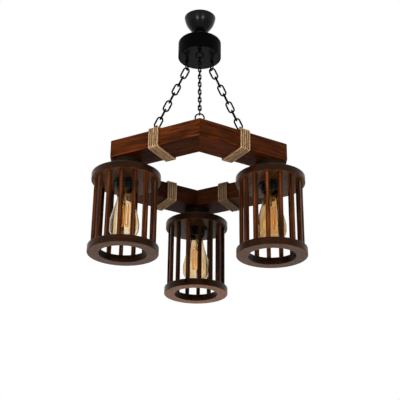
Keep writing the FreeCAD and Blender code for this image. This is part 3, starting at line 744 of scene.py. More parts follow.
def timber_grain():
    """Group for stained timber: rings, streaks, fibres, blotches, flecks and pores of a board."""
    tree, given, out = group_of(
        "Timber grain",
        {"Place": "Vector", "Light": "Color", "Dark": "Color", "Rings per Metre": "Float", "Tone": "Float"},
        {"Colour": "Color", "Dryness": "Float", "Height": "Float"})
    place = given["Place"]
    drift = noise(tree, place, *DRIFT_NOISE)
    swing = arithmetic(tree, "MULTIPLY_ADD", drift, DRIFT_REACH, -DRIFT_REACH / 2)
    moved = put(tree, "ShaderNodeCombineXYZ", {"X": 0.0, "Y": swing, "Z": swing}).outputs[0]
    bent = vector_sum(tree, "ADD", {0: place, 1: moved})
    from_heart = vector_sum(tree, "MULTIPLY_ADD", {0: bent, 1: HEART_SCALES, 2: HEART_OFFSET})
    heart = put(tree, "ShaderNodeVectorMath", {0: from_heart}, operation="LENGTH").outputs["Value"]
    turns = arithmetic(tree, "MULTIPLY", heart, given["Rings per Metre"])
    rings = arithmetic(tree, "SINE", arithmetic(tree, "MULTIPLY", turns, 2 * pi))
    fibres = noise(tree, place, *FIBRE_NOISE)
    lightness = weighted(
        tree, (rings, RING_SHARE), (noise(tree, bent, *STREAK_NOISE), STREAK_SHARE),
        (fibres, FIBRE_SHARE), (noise(tree, place, *BLOTCH_NOISE), BLOTCH_SHARE))
    light = ranged(tree, lightness, *STAIN_RANGE)
    stain = mixed(tree, light, given["Dark"], given["Light"])
    flecks = ranged(tree, noise(tree, bent, *FLECK_NOISE), *FLECK_RANGE)
    pores = ranged(tree, noise(tree, place, *PORE_NOISE), *PORE_RANGE)
    for marks, marked in ((flecks, FLECK_SHARE), (pores, PORE_SHARE)):
        stain = mixed(tree, arithmetic(tree, "MULTIPLY", marks, marked), stain, given["Dark"])
    feed(tree, out, {
        "Colour": toned(tree, stain, given["Tone"]),
        "Dryness": weighted(tree, (pores, PORE_DRYNESS), (light, LIGHT_DRYNESS)),
        "Height": weighted(tree, (pores, -PORE_DEPTH), (fibres, FIBRE_HEIGHT))})


def twisted_fibre():
    """Group for twine: fine fibres that run slantwise along a strand."""
    tree, given, out = group_of(
        "Twisted fibre", {"Place": "Vector", "Light": "Color", "Dark": "Color", "Tone": "Float"},
        {"Colour": "Color", "Height": "Float"})
    along, round_it, strand = put(tree, "ShaderNodeSeparateXYZ", {0: given["Place"]}).outputs
    slant = arithmetic(tree, "MULTIPLY_ADD", along, JUTE_SLANT, round_it)
    place = put(tree, "ShaderNodeCombineXYZ", {"X": along, "Y": slant, "Z": strand}).outputs[0]
    fibres = noise(tree, place, *JUTE_NOISE)
    patches = noise(tree, place, *JUTE_PATCH_NOISE)
    lightness = weighted(tree, (patches, JUTE_PATCH_SHARE), (fibres, JUTE_FIBRE_SHARE))
    fibre = mixed(tree, ranged(tree, lightness, *JUTE_RANGE), given["Dark"], given["Light"])
    feed(tree, out, {"Colour": toned(tree, fibre, given["Tone"]), "Height": fibres})


def surface_mottle():
    """Group for paint, moulding, metal and glass: faint changes of colour, gloss and height."""
    tree, given, out = group_of(
        "Surface mottle",
        {"Place": "Vector", "First": "Color", "Second": "Color", "Least Roughness": "Float",
         "Most Roughness": "Float"},
        {"Colour": "Color", "Roughness": "Float", "Height": "Float"})
    tone = ranged(tree, noise(tree, given["Place"], *BROAD_NOISE), *MOTTLE_RANGE)
    least = given["Least Roughness"]
    spread = arithmetic(tree, "SUBTRACT", given["Most Roughness"], least)
    feed(tree, out, {
        "Colour": mixed(tree, tone, given["First"], given["Second"]),
        "Roughness": arithmetic(tree, "MULTIPLY_ADD", tone, spread, least),
        "Height": noise(tree, given["Place"], *FINE_NOISE)})


# Materials

# How much rougher the driest wood is than the oiled wood, and the height of its grain
DRY_ROUGHNESS = 0.2
TIMBER_BUMP = 0.00025
TIMBER_GLOSS = 0.06
SLAT_GLOSS = 0.10
SLAT_ROUGHNESS = 0.34
SLAT_RING_SPACING = 0.006
SPACER_ROUGHNESS = 0.55
SPACER_RING_SPACING = 0.01
SPACER_DARK = 0.6
# Discs and rings of the cages, and how upright a surface is where its edge turns into its face
DISC_RINGS_PER_METRE = 95.0
DISC_ROUGHNESS = (0.27, 0.42)
DISC_GLOSS = 0.16
DISC_BUMP = 0.0002
FACE_RANGE = (0.55, 0.95)

JUTE_ROUGHNESS = 0.88
JUTE_GLOSS = 0.2
JUTE_SHEEN = 0.15
JUTE_BUMP = 0.0003

GLASS_INDEX = 1.46
# Least and most roughness, and how the streaks are stretched across, through and upwards
AMBER_LOOK = (0.0, 0.03, (2.2, 2.2, 0.12))
CLEAR_LOOK = (0.34, 0.48, (1.0, 1.0, 1.0))
CLEAR_LIGHT = (0.93, 0.87, 0.76)
CLEAR_DARK = (0.86, 0.78, 0.64)

FILAMENT_DARK = 0.8
FILAMENT_BASE_TONE = 0.25
FILAMENT_ROUGHNESS = (0.35, 0.5)

PAINT_BUMP = 0.00006
PLATE_BUMP = 0.000008
Mottle = namedtuple("Mottle", "roughness gloss metallic bump")
MOTTLES = {
    "Black paint": Mottle((0.40, 0.46), 0.012, 0.0, PAINT_BUMP),
    "Plate paint": Mottle((0.17, 0.22), 0.09, 0.0, PLATE_BUMP),
    "Black moulding": Mottle((0.30, 0.42), 0.12, 0.0, PAINT_BUMP),
    "Cup moulding": Mottle((0.26, 0.27), 0.14, 0.0, 0.0),
    "Chain lacquer": Mottle((0.34, 0.42), 0.012, 0.0, PAINT_BUMP),
    "Zinc": Mottle((0.28, 0.42), 0.5, 1.0, PAINT_BUMP),
    "Brass": Mottle((0.25, 0.40), 0.5, 1.0, PAINT_BUMP),
    "White nylon": Mottle((0.45, 0.55), 0.4, 0.0, PAINT_BUMP),
}
# How light the second colour of a finish is against its first
SECOND_TONES = {
    "Black paint": 1.35, "Plate paint": 0.7, "Black moulding": 1.3, "Cup moulding": 1.3,
    "Chain lacquer": 1.5, "Zinc": 0.82, "Brass": 0.8,
}
NYLON_FIRST = (0.72, 0.72, 0.69)
NYLON_SECOND = (0.66, 0.66, 0.63)


def material_of(name):
    """The tree and the shader node of a new material."""
    material = bpy.data.materials.new(name)
    material.use_nodes = True
    tree = material.node_tree
    return tree, tree.nodes["Principled BSDF"]


def placed_group(tree, name, inputs):
    """A shared group placed in a material, with its inputs fed."""
    return put(tree, "ShaderNodeGroup", inputs, node_tree=bpy.data.node_groups[name]).outputs


def grain_of(tree, light, dark, rings_per_metre):
    """The timber group between two colours, at each point's place in its board."""
    return placed_group(tree, "Timber grain", {
        "Place": layer(tree, "grain", "Vector"), "Light": opaque(light), "Dark": opaque(dark),
        "Rings per Metre": rings_per_metre, "Tone": layer(tree, "tone", "Fac")})


def mottle_of(tree, place, first, second, roughness):
    """The mottle group between two colours and two roughnesses."""
    least, most = roughness
    return placed_group(tree, "Surface mottle", {
        "Place": place, "First": opaque(first), "Second": opaque(second), "Least Roughness": least,
        "Most Roughness": most})


def timber_material(name, light, dark, sheen, ring_spacing, roughness, gloss):
    """Stained and oiled timber."""
    tree, shader = material_of(name)
    grain = grain_of(tree, light, dark, 1 / ring_spacing)
    feed(tree, shader, {
        "Base Color": grain["Colour"],
        "Roughness": ranged(tree, grain["Dryness"], 0.0, 1.0, roughness, roughness + DRY_ROUGHNESS),
        "Specular IOR Level": gloss, "Specular Tint": opaque(sheen),
        "Normal": bump(tree, grain["Height"], TIMBER_BUMP)})


def turned_wood_material(cage, sheen):
    """Stained disc wood: its turned edges take the stain darker than its flat faces."""
    tree, shader = material_of("Turned wood")
    face = grain_of(tree, cage.face_light, cage.face_dark, DISC_RINGS_PER_METRE)
    edge = grain_of(tree, cage.edge_light, cage.edge_dark, DISC_RINGS_PER_METRE)
    normal = put(tree, "ShaderNodeTexCoord", {}).outputs["Normal"]
    upright = put(tree, "ShaderNodeSeparateXYZ", {0: normal}).outputs["Z"]
    flat = ranged(tree, arithmetic(tree, "ABSOLUTE", upright), *FACE_RANGE)
    feed(tree, shader, {
        "Base Color": mixed(tree, flat, edge["Colour"], face["Colour"]),
        "Roughness": ranged(tree, face["Dryness"], 0.0, 1.0, *DISC_ROUGHNESS),
        "Specular IOR Level": DISC_GLOSS, "Specular Tint": opaque(sheen),
        "Normal": bump(tree, face["Height"], DISC_BUMP)})


def mottled_material(name, first, second):
    """Paint, moulding or metal."""
    tree, shader = material_of(name)
    look = MOTTLES[name]
    mottle = mottle_of(tree, object_place(tree), first, second, look.roughness)
    feed(tree, shader, {
        "Base Color": mottle["Colour"], "Roughness": mottle["Roughness"],
        "Specular IOR Level": look.gloss, "Metallic": look.metallic,
        "Normal": bump(tree, mottle["Height"], look.bump)})


def jute_material(twine):
    """Matt twisted fibre."""
    tree, shader = material_of("Jute twine")
    fibre = placed_group(tree, "Twisted fibre", {
        "Place": layer(tree, "grain", "Vector"), "Light": opaque(twine.light),
        "Dark": opaque(twine.dark), "Tone": layer(tree, "tone", "Fac")})
    feed(tree, shader, {
        "Base Color": fibre["Colour"], "Roughness": JUTE_ROUGHNESS, "Specular IOR Level": JUTE_GLOSS,
        "Sheen Weight": JUTE_SHEEN, "Normal": bump(tree, fibre["Height"], JUTE_BUMP)})


def glass_material(name, first, second, least, most, streak_scales):
    """Clear or tinted glass, with its tint in upright streaks."""
    tree, shader = material_of(name)
    place = vector_sum(tree, "MULTIPLY", {0: object_place(tree), 1: streak_scales})
    mottle = mottle_of(tree, place, first, second, (least, most))
    feed(tree, shader, {
        "Base Color": mixed(tree, layer(tree, "tone", "Fac"), opaque(second), mottle["Colour"]),
        "Roughness": mottle["Roughness"], "Transmission Weight": 1.0, "IOR": GLASS_INDEX})


def filament_material(bulb):
    """Warm glowing wire."""
    tree, shader = material_of("Filament")
    mottle = mottle_of(tree, object_place(tree), bulb.glow, dimmed(bulb.glow, FILAMENT_DARK),
                       FILAMENT_ROUGHNESS)
    feed(tree, shader, {
        "Base Color": toned(tree, mottle["Colour"], FILAMENT_BASE_TONE),
        "Emission Color": mottle["Colour"], "Roughness": mottle["Roughness"],
        "Emission Strength": bulb.glow_strength})


def make_materials(settings):
    """Build the shared groups and every material once."""
    timber_grain()
    twisted_fibre()
    surface_mottle()
    timber = settings.timber
    cage = settings.cage
    lamp = settings.lamp
    bulb = settings.bulb
    canopy = settings.canopy
    timber_material("Stained timber", timber.light, timber.dark, timber.sheen, timber.ring_spacing,
                    timber.roughness, TIMBER_GLOSS)
    timber_material("Slat timber", cage.slat_light, cage.slat_dark, timber.sheen, SLAT_RING_SPACING,
                    SLAT_ROUGHNESS, SLAT_GLOSS)
    timber_material("Spacer timber", cage.spacer_colour, dimmed(cage.spacer_colour, SPACER_DARK),
                    timber.sheen, SPACER_RING_SPACING, SPACER_ROUGHNESS, SLAT_GLOSS)
    turned_wood_material(cage, timber.sheen)
    jute_material(settings.twine)
    first_colours = {
        "Black paint": canopy.paint, "Plate paint": canopy.lit_plate_paint, "Black moulding": lamp.plastic,
        "Cup moulding": canopy.cup_colour, "Chain lacquer": settings.chain.lacquer, "Zinc": lamp.steel,
        "Brass": bulb.brass}
    for name, first in first_colours.items():
        mottled_material(name, first, dimmed(first, SECOND_TONES[name]))
    mottled_material("White nylon", NYLON_FIRST, NYLON_SECOND)
    glass_material("Amber glass", bulb.amber, bulb.amber_deep, *AMBER_LOOK)
    glass_material("Clear glass", CLEAR_LIGHT, CLEAR_DARK, *CLEAR_LOOK)
    filament_material(bulb)


# Stage

SENSOR_WIDTH = 36.0
WHITE = (1.0, 1.0, 1.0, 1.0)
FLOOR_CORNERS = 64
FLOOR_NOISE = ((1.5, 1.5, 1.5), 3.0)
FLOOR_RANGE = (0.3, 0.7)
FLOOR_DARK = 0.96


def camera_axes(stage):
    """Right, up and back directions of the camera."""
    ahead = Vector((sin(stage.yaw) * cos(stage.pitch), cos(stage.yaw) * cos(stage.pitch), sin(stage.pitch)))
    right = Vector((cos(stage.yaw), -sin(stage.yaw), 0.0))
    up = right.cross(ahead)
    rolled_right = right * cos(stage.roll) + up * sin(stage.roll)
    rolled_up = up * cos(stage.roll) - right * sin(stage.roll)
    return rolled_right, rolled_up, -ahead


def add_camera(stage):
    """The camera that took the photograph."""
    data = bpy.data.cameras.new("Camera")
    data.lens = stage.lens
    data.sensor_width = SENSOR_WIDTH
    camera = bpy.data.objects.new("Camera", data)
    camera.matrix_world = Matrix.LocRotScale(
        Vector(stage.place), Matrix(camera_axes(stage)).transposed(), None)
    bpy.context.scene.collection.objects.link(camera)
    bpy.context.scene.camera = camera


def seen_directly(tree):
    """One for camera, mirror and glass rays, zero for the rays that light things."""
    rays = put(tree, "ShaderNodeLightPath", {}).outputs
    first = arithmetic(tree, "MAXIMUM", rays["Is Camera Ray"], rays["Is Glossy Ray"])
    return arithmetic(tree, "MAXIMUM", first, rays["Is Transmission Ray"])


def add_world(stage):
    """White surroundings that light the object at a plain level."""
    world = bpy.data.worlds.new("Studio")
    world.use_nodes = True
    tree = world.node_tree
    tree.nodes.clear()
    even = put(tree, "ShaderNodeBackground",
               {"Color": opaque(stage.ambient_colour), "Strength": stage.ambient})
    white = put(tree, "ShaderNodeBackground", {"Color": WHITE, "Strength": 1.0})
    both = put(tree, "ShaderNodeMixShader",
               {0: seen_directly(tree), 1: even.outputs[0], 2: white.outputs[0]})
    put(tree, "ShaderNodeOutputWorld", {"Surface": both.outputs[0]})
    bpy.context.scene.world = world


def add_lamp(name, azimuth, rise, distance, size, energy):
    """Soft round lamp that faces the middle of the timber frame."""
    data = bpy.data.lights.new(name, "AREA")
    data.shape = "DISK"
    data.size = size
    data.energy = energy
    lamp = bpy.data.objects.new(name, data)
    middle = Vector((0.0, 0.0, heights_of("beam_left")[0]))
    out = Vector((sin(azimuth) * cos(rise), -cos(azimuth) * cos(rise), sin(rise)))
    lamp.rotation_mode = "QUATERNION"
    lamp.rotation_quaternion = (-out).to_track_quat("-Z", "Y")
    lamp.location = middle + out * distance
    bpy.context.scene.collection.objects.link(lamp)
    return lamp


def add_floor(stage):
    """Pale matt floor well below the chandelier."""
    work = bmesh.new()
    bmesh.ops.create_circle(work, cap_ends=True, radius=stage.floor_radius, segments=FLOOR_CORNERS,
                            matrix=Matrix.Translation((0.0, 0.0, -stage.floor_drop)))
    data = bpy.data.meshes.new("floor")
    work.to_mesh(data)
    work.free()
    material = bpy.data.materials.new("Floor")
    material.use_nodes = True
    tree = material.node_tree
    tree.nodes.clear()
    mottle = ranged(tree, noise(tree, object_place(tree), *FLOOR_NOISE), *FLOOR_RANGE)
    tone = mixed(tree, mottle, opaque(stage.floor_colour), opaque(dimmed(stage.floor_colour, FLOOR_DARK)))
    matt = put(tree, "ShaderNodeBsdfDiffuse", {"Color": tone})
    white = put(tree, "ShaderNodeEmission", {"Color": WHITE, "Strength": 1.0})
    lift = arithmetic(tree, "MULTIPLY", seen_directly(tree), stage.floor_white_share)
    both = put(tree, "ShaderNodeMixShader", {0: lift, 1: matt.outputs[0], 2: white.outputs[0]})
    put(tree, "ShaderNodeOutputMaterial", {"Surface": both.outputs[0]})
    data.materials.append(material)
    floor = bpy.data.objects.new("floor", data)
    bpy.context.scene.collection.objects.link(floor)


# Timber frame

ARRIS_STEPS = 4
MITRE_STEPS = 2
# Cosines that tell a beam's long edges, and its mitres of more than four corners, from all else
LONG_EDGE_COSINE = 0.99
MITRE_COSINE = 0.5
# Shares of the arris up to which a point counts as underside, which takes painted light, and as lower edge,
# which takes a painted highlight
UNDERSIDE_SHARE = 0.125
EDGE_HIGHLIGHT_SHARE = 0.9


def beam_ring(timber, azimuth, sign, low, high):
    """Corners of one mitred end of a beam."""
    outer = timber.corner_radius * cos(HALF_CORNER)
    inner = outer - timber.width
    slope = tan(HALF_CORNER)
    ring = []
    for distance, height in ((inner, low), (outer, low), (outer, high), (inner, high)):
        ring.append(radial(azimuth) * distance + tangent(azimuth) * (sign * distance * slope)
                    + Z_AXIS * height)
    return ring


def beam_middle(timber):
    """Distance from the middle of the frame to the middle line of a beam."""
    return timber.corner_radius * cos(HALF_CORNER) - timber.width / 2


def make_beam(timber, side, name):
    """One beam with eased long edges and a fine joint line at its mitres."""
    azimuth = SIXTH_TURN * (side + 0.5)
    low, high = heights_of("beam_" + name)
    work = Work()
    work.add_prism(beam_ring(timber, azimuth, -1, low, high), beam_ring(timber, azimuth, 1, low, high))
    mesh = work.mesh
    bmesh.ops.recalc_face_normals(mesh, faces=mesh.faces)
    long_edges = []
    for edge in mesh.edges:
        run = (edge.verts[1].co - edge.verts[0].co).normalized()
        if abs(run.dot(tangent(azimuth))) > LONG_EDGE_COSINE:
            long_edges.append(edge)
    work.round_edges(long_edges, timber.arris, ARRIS_STEPS)
    mesh.normal_update()
    mitres = [face for face in mesh.faces
              if abs(face.normal.dot(tangent(azimuth))) > MITRE_COSINE and len(face.verts) > 4]
    mitre_edges = dict.fromkeys(edge for face in mitres for edge in face.edges)
    work.round_edges(mitre_edges, timber.mitre_arris, MITRE_STEPS)
    work.put_in_order()
    middle = radial(azimuth) * beam_middle(timber) + Z_AXIS * (low + high) / 2
    # The beam's tone is painted shade, darkest on the rear beams
    work.lay_grain(middle, tangent(azimuth), radial(azimuth), side + 1.0, BEAM_SHADE_TONES[name])
    # Painted light on the underside, and a painted highlight along the lower edges
    for point in mesh.verts:
        if point.co.z < low + timber.arris * UNDERSIDE_SHARE:
            point[work.tone] = BEAM_UNDERSIDE_LIGHT[name]
        elif point.co.z < low + timber.arris * EDGE_HIGHLIGHT_SHARE:
            point[work.tone] = BEAM_SHADE_TONES[name] * EDGE_HIGHLIGHT_TONE
    work.piece("timber_beam_" + name, "Stained timber", "beam_" + name)


# Jute windings

# How light every other turn of a winding is, and how dark the painted shade in the grooves between the
# turns is
TURN_CONTRAST = 0.09
TURN_TONES = (0.9, 1.1)
GROOVE_SHADE = 0.88
GROOVE_SLOPE = 1.5
# Share of the clearance by which a turn wanders along its beam
TURN_WANDER = 0.6
ROUTE_RESOLUTION = 6
ROUTE_STEP = 0.0013
STRAND_SIDES = 7
STRAND_SQUEEZE = 1.04
STRAND_TIP_SHARE = 0.55
WINDING_SEED = 11
STRAY_SEED = 5.0
STRAY_RADIUS = 0.00006
STRAY_SIDES = 3
STRAY_TAPER = 0.35
STRAY_ROOT_SHARE = 0.42
# How many points of the route at each end carry no stray fibre
STRAY_MARGIN = 2
# Ranges of a stray fibre: place round the twine, lean outwards and sideways, length and droop
STRAY_TURNS = (-1.1, 1.1)
STRAY_LEANS = (0.15, 0.7)
STRAY_SWAYS = (-0.4, 0.4)
STRAY_LENGTHS = (0.002, 0.0065)
STRAY_DROOPS = (-0.0006, 0.0009)


def twine_controls(twine, timber, height, jitter):
    """Control points of one winding: along the beam, outwards and up from its underside."""
    reach = twine.diameter / 2 + twine.clearance
    half = timber.width / 2 + reach
    low = -reach
    high = height + reach
    start = -twine.pitch * twine.turns / 2
    corners = [Vector((start, 0.0, high))]
    for turn in range(twine.turns):
        here = start + twine.pitch * (turn + 0.5) + jitter.uniform(-1, 1) * twine.clearance * TURN_WANDER
        for out, up in ((half, high), (half, low), (-half, low), (-half, high)):
            corners.append(Vector((here, out, up)))
    corners.append(Vector((-start, 0.0, high)))
    controls = [corners[0]]
    for before, here, after in zip(corners[:-2], corners[1:-1], corners[2:]):
        controls.append(here + (before - here).normalized() * twine.corner_reach)
        controls.append(here)
        controls.append(here + (after - here).normalized() * twine.corner_reach)
    controls.append(corners[-1])
    return controls


def add_strands(work, twine, route, tones, along, underside, underside_light):
    """The twisted strands that make up one length of twine, with painted shade between its turns and
    painted light on its underside.
    """
    ends = len(route) - 1

    def turn_tone(i, place):
        off = (place - route[i]).dot(along) / (twine.diameter / 2)
        # Painted light on the underside, and painted shade in the grooves between the turns
        below = underside_light if place.z < underside else 1.0
        shade = 1.0 - GROOVE_SHADE * min(abs(off), 1.0) ** GROOVE_SLOPE
        return tones[min(i * len(tones) // ends, len(tones) - 1)] * below * shade

    strand = twine.diameter / 2 / (1 + 2 / sqrt(3)) * STRAND_SQUEEZE
    offset = twine.diameter / 2 - strand
    frames = path_frames(route)
    step = (route[1] - route[0]).length
    for number in range(twine.strands):
        path = []
        for i, (_, side, up) in enumerate(frames):
            turn = 2 * pi * (i * step / twine.lay_length + number / twine.strands)
            path.append(route[i] + side * (offset * cos(turn)) + up * (offset * sin(turn)))
        work.add_tube(path, lambda i: strand * (STRAND_TIP_SHARE if i in (0, ends) else 1.0), STRAND_SIDES,
                      seed=float(number), tone=turn_tone)


def add_fibres(work, twine, route, axis_point, jitter):
    """Stray fibres that stand off the twine on the side away from the middle of the beam."""
    for _ in range(twine.fibres):
        i = jitter.randrange(STRAY_MARGIN, len(route) - STRAY_MARGIN)
        ahead = (route[i + 1] - route[i - 1]).normalized()
        away = route[i] - axis_point
        away = (away - ahead * away.dot(ahead)).normalized()
        side = ahead.cross(away)
        turn = jitter.uniform(*STRAY_TURNS)
        out = away * cos(turn) + side * sin(turn)
        root = route[i] + out * twine.diameter * STRAY_ROOT_SHARE
        run = (ahead * jitter.choice((-1, 1)) + out * jitter.uniform(*STRAY_LEANS)
               + side * jitter.uniform(*STRAY_SWAYS)).normalized()
        reach = jitter.uniform(*STRAY_LENGTHS)
        droop = out * jitter.uniform(*STRAY_DROOPS)
        path = [root, root + run * reach * 0.5 + droop, root + run * reach]
        work.add_tube(path, lambda k: STRAY_RADIUS * (1.0 - STRAY_TAPER * k), STRAY_SIDES, seed=STRAY_SEED)


def make_winding(twine, timber, side, name):
    """One winding of twisted twine at the middle of a beam."""
    azimuth = SIXTH_TURN * (side + 0.5)
    low, high = heights_of("beam_" + name)
    jitter = random.Random(side + WINDING_SEED)
    origin = radial(azimuth) * beam_middle(timber) + Z_AXIS * low
    along = -tangent(azimuth)
    controls = [origin + along * point.x + radial(azimuth) * point.y + Z_AXIS * point.z
                for point in twine_controls(twine, timber, high - low, jitter)]
    route = evenly_spaced(spline_points(controls, ROUTE_RESOLUTION), ROUTE_STEP)
    work = Work()
    # Each winding's tone is painted light and shade; every other turn is lighter, and the turns also differ
    # at random
    tones = [TWINE_LIGHT_AND_SHADE[name] * (1.0 + TURN_CONTRAST * (-1) ** turn) * jitter.uniform(*TURN_TONES)
             for turn in range(twine.turns)]
    add_strands(work, twine, route, tones, along, low, TWINE_UNDERSIDE_LIGHT[name])
    add_fibres(work, twine, route, origin + Z_AXIS * (high - low) / 2, jitter)
    work.piece("jute_winding_" + name, "Jute twine", "jute_windings", crisp=False)


# Lamp cages

SPACER_STEPS = 64
DISC_STEPS = 96
ARRIS_POINTS = 3
# Seeds of the grain: one board for all spacers, then discs, rings and slats
SPACER_SEED = 31.0
DISC_SEED = 41.0
RING_SEED = 44.0
SLAT_SEED = 50.0
CAGE_SEED_STEP = 20
# Degrees by which the grain turns from one disc's or ring's seed to the next
GRAIN_TURN = 37
# Share of the edge's rounding up to which a point counts as the ring's underside, which takes painted light
RING_FLAT_SHARE = 0.25


def make_spacer(cage, side):
    """Dark turned block between the frame and a cage."""
    node = "spacer_" + side
    low, high = heights_of(node)
    radius = span(node, 0) / 2
    roof = high - cage.spacer_roof
    outline = rounded_outline([
        (radius, low, cage.edge), (radius, high, cage.edge), (cage.spacer_hole, high, 0.0),
        (cage.spacer_hole, roof, 0.0), (cage.disc_hole, roof, 0.0), (cage.disc_hole, low, 0.0),
    ], closed=True)
    work = Work()
    work.add_turned(outline, SPACER_STEPS, middle_of(node), closed=True)
    work.lay_grain(middle_of(node), Z_AXIS, radial(0), SPACER_SEED)
    work.piece("lamp_spacer_" + side, "Spacer timber", node)


def make_wooden_ring(cage, node, name, hole, side, seed):
    """Round flat board with eased edges, for the top or the bottom of a cage."""
    low, high = heights_of(node)
    centre = lamp_middle(side)
    radius = span("cage_ring_" + side, 1) / 2
    work = Work()
    outline = rounded_outline([
        (radius, low, cage.edge), (radius, high, cage.edge), (hole, high, cage.edge / 2),
        (hole, low, cage.edge / 2),
    ], closed=True)
    work.add_turned(outline, DISC_STEPS, centre, closed=True)
    # The cage's tone is painted shade, darkest on the rear cage
    work.lay_grain(centre + Z_AXIS * low, tangent(seed * GRAIN_TURN), radial(seed * GRAIN_TURN), seed,
                   CAGE_SHADE_TONES[side])
    # Painted light on the underside of each bottom ring, strongest on the rear ring
    for point in work.mesh.verts:
        if point.co.z < low + cage.edge * RING_FLAT_SHARE and node.startswith("cage_ring"):
            point[work.tone] = RING_UNDERSIDE_LIGHT[side]
    work.piece(name + "_" + side, "Turned wood", node)


def make_slats(cage, side, seed):
    """All the upright slats of a cage, each of its own wood, with painted shade on its arrises."""
    node = "cage_slats_" + side
    low, high = heights_of(node)
    x = cage.slat_width / 2
    y = cage.slat_depth / 2
    circle = span("cage_ring_" + side, 1) / 2 - cage.slat_inset - y
    jitter = random.Random(int(seed))
    outline = rounded_outline([
        (-x, -y, cage.slat_arris), (0.0, -y, 0.0), (x, -y, cage.slat_arris), (x, 0.0, 0.0),
        (x, y, cage.slat_arris), (0.0, y, 0.0), (-x, y, cage.slat_arris), (-x, 0.0, 0.0),
    ], closed=True, steps=ARRIS_POINTS)
    work = Work()
    for k in range(cage.slats):
        azimuth = SLAT_PHASES[side] + WHOLE_TURN * k / cage.slats
        middle = lamp_middle(side) + radial(azimuth) * circle
        rings = [[middle + tangent(azimuth) * point.x + radial(azimuth) * point.y + Z_AXIS * height
                  for point in outline] for height in (low, high)]
        work.add_prism(*rings)
        # The cage's painted shade, times the slat's own random tone
        tone = CAGE_SHADE_TONES[side] * jitter.uniform(*SLAT_TONES)
        work.lay_grain(middle, Z_AXIS, radial(azimuth + QUARTER_TURN * (k % 4)), seed + k, tone)
        work.mesh.verts.ensure_lookup_table()
        for point, place in zip(work.mesh.verts[-2 * len(outline):], outline * 2):
            # Painted shade on the arrises
            if min(abs(place.x), abs(place.y)) > 0:
                point[work.tone] = tone * ARRIS_SHADE_TONE
    work.piece("cage_slat_set_" + side, "Slat timber", node)


# Lamp fittings

HOLDER_STEPS = 56
WASHER_STEPS = 48
TUBE_STEPS = 32
NUT_STEPS = 72
KNURL_STEPS = 6
THREAD_STEPS = 6
FITTING_BENDS = 3


def threads(radius, height, turn, pitch, depth):
    """Radius at a place on a rolled thread."""
    phase = 2 * pi * height / pitch - turn
    return radius - depth * (0.5 - 0.5 * cos(phase))


def make_holder(lamp, side):
    """Black lamp holder with three grooves round its body."""
    mouth_bend = 0.001
    rim_bend = 0.0008
    foot_bend = 0.002
    top_bend = 0.0015
    groove = 0.0007
    groove_rim = 0.0002
    groove_floor = 0.0003
    groove_shares = (0.34, 0.42, 0.80)
    low, high = heights_of("lamp_holders")
    contact = high - lamp.roof
    radius = lamp.holder_radius
    cavity = lamp.cavity_radius
    mouth_top = heights_of("bulb_glass_" + side)[1]
    widening = mouth_top + lamp.mouth_radius - cavity
    tube_end = high - lamp.tube_depth
    corners = [(0.0, contact, 0.0), (cavity, contact, mouth_bend), (cavity, widening, mouth_bend),
               (lamp.mouth_radius, mouth_top, mouth_bend), (lamp.mouth_radius, low, rim_bend),
               (radius, low, foot_bend)]
    for share_up in groove_shares:
        height = low + (high - low) * share_up
        corners += [(radius, height - groove, groove_rim), (radius - groove, height, groove_floor),
                    (radius, height + groove, groove_rim)]
    corners += [(radius, high, top_bend), (lamp.tube_radius, high, 0.0), (lamp.tube_radius, tube_end, 0.0),
                (0.0, tube_end, 0.0)]
    outline = rounded_outline(corners, steps=FITTING_BENDS)
    turned_piece("lamp_holder_" + side, "Black moulding", "lamp_holders", outline, HOLDER_STEPS,
                 lamp_middle(side), closed=False)


def make_shade_ring(lamp, side):
    """Ribbed ring that clamps the holder to the cage's disc."""
    rim_bend = 0.0008
    inner_bend = 0.0006
    rib_depth = 0.0005
    rib_reach = 0.001
    low, high = heights_of("shade_rings")
    outer = lamp.shade_ring_radius

    def ribbed(radius, height, turn):
        if radius < outer - rib_reach:
            return radius
        return radius - rib_depth * (0.5 + 0.5 * cos(lamp.knurls * turn))

    outline = rounded_outline([
        (outer, low, rim_bend), (outer, high, rim_bend), (lamp.holder_radius, high, 0.0),
        (lamp.holder_radius, low, inner_bend),
    ], closed=True, steps=FITTING_BENDS)
    turned_piece("shade_ring_" + side, "Black moulding", "shade_rings", outline,
                 lamp.knurls * KNURL_STEPS, lamp_middle(side), reach=ribbed)


def make_tube(lamp, side):
    """Threaded tube that clamps a lamp to the frame."""
    depth_share = 0.45
    outside_share = 0.9
    low, high = heights_of("lamp_tubes")
    depth = lamp.tube_pitch * depth_share
    thread_bottom = high - lamp.threaded_length

    def threaded(radius, height, turn):
        if radius < lamp.tube_radius * outside_share or height <= thread_bottom:
            return radius
        return threads(radius, height, turn, lamp.tube_pitch, depth)

    outline = [Vector((lamp.tube_radius, low)), Vector((lamp.tube_radius, thread_bottom))]
    rows = round(lamp.threaded_length / lamp.tube_pitch * THREAD_STEPS)
    for row in range(1, rows + 1):
        outline.append(Vector((lamp.tube_radius, thread_bottom + lamp.threaded_length * row / rows)))
    outline += [Vector((lamp.tube_bore, high)), Vector((lamp.tube_bore, low))]
    turned_piece("lamp_tube_" + side, "Zinc", "lamp_tubes", outline, TUBE_STEPS, lamp_middle(side),
                 reach=threaded)


def make_washer(lamp, side):
    """Round washer on top of the frame."""
    rim_bend = 0.0004
    low, high = heights_of("tube_washers")
    outline = rounded_outline([
        (lamp.washer_radius, low, rim_bend), (lamp.washer_radius, high, rim_bend),
        (lamp.tube_radius, high, 0.0), (lamp.tube_radius, low, 0.0),
    ], closed=True, steps=FITTING_BENDS)
    turned_piece("tube_washer_" + side, "Zinc", "tube_washers", outline, WASHER_STEPS, lamp_middle(side))


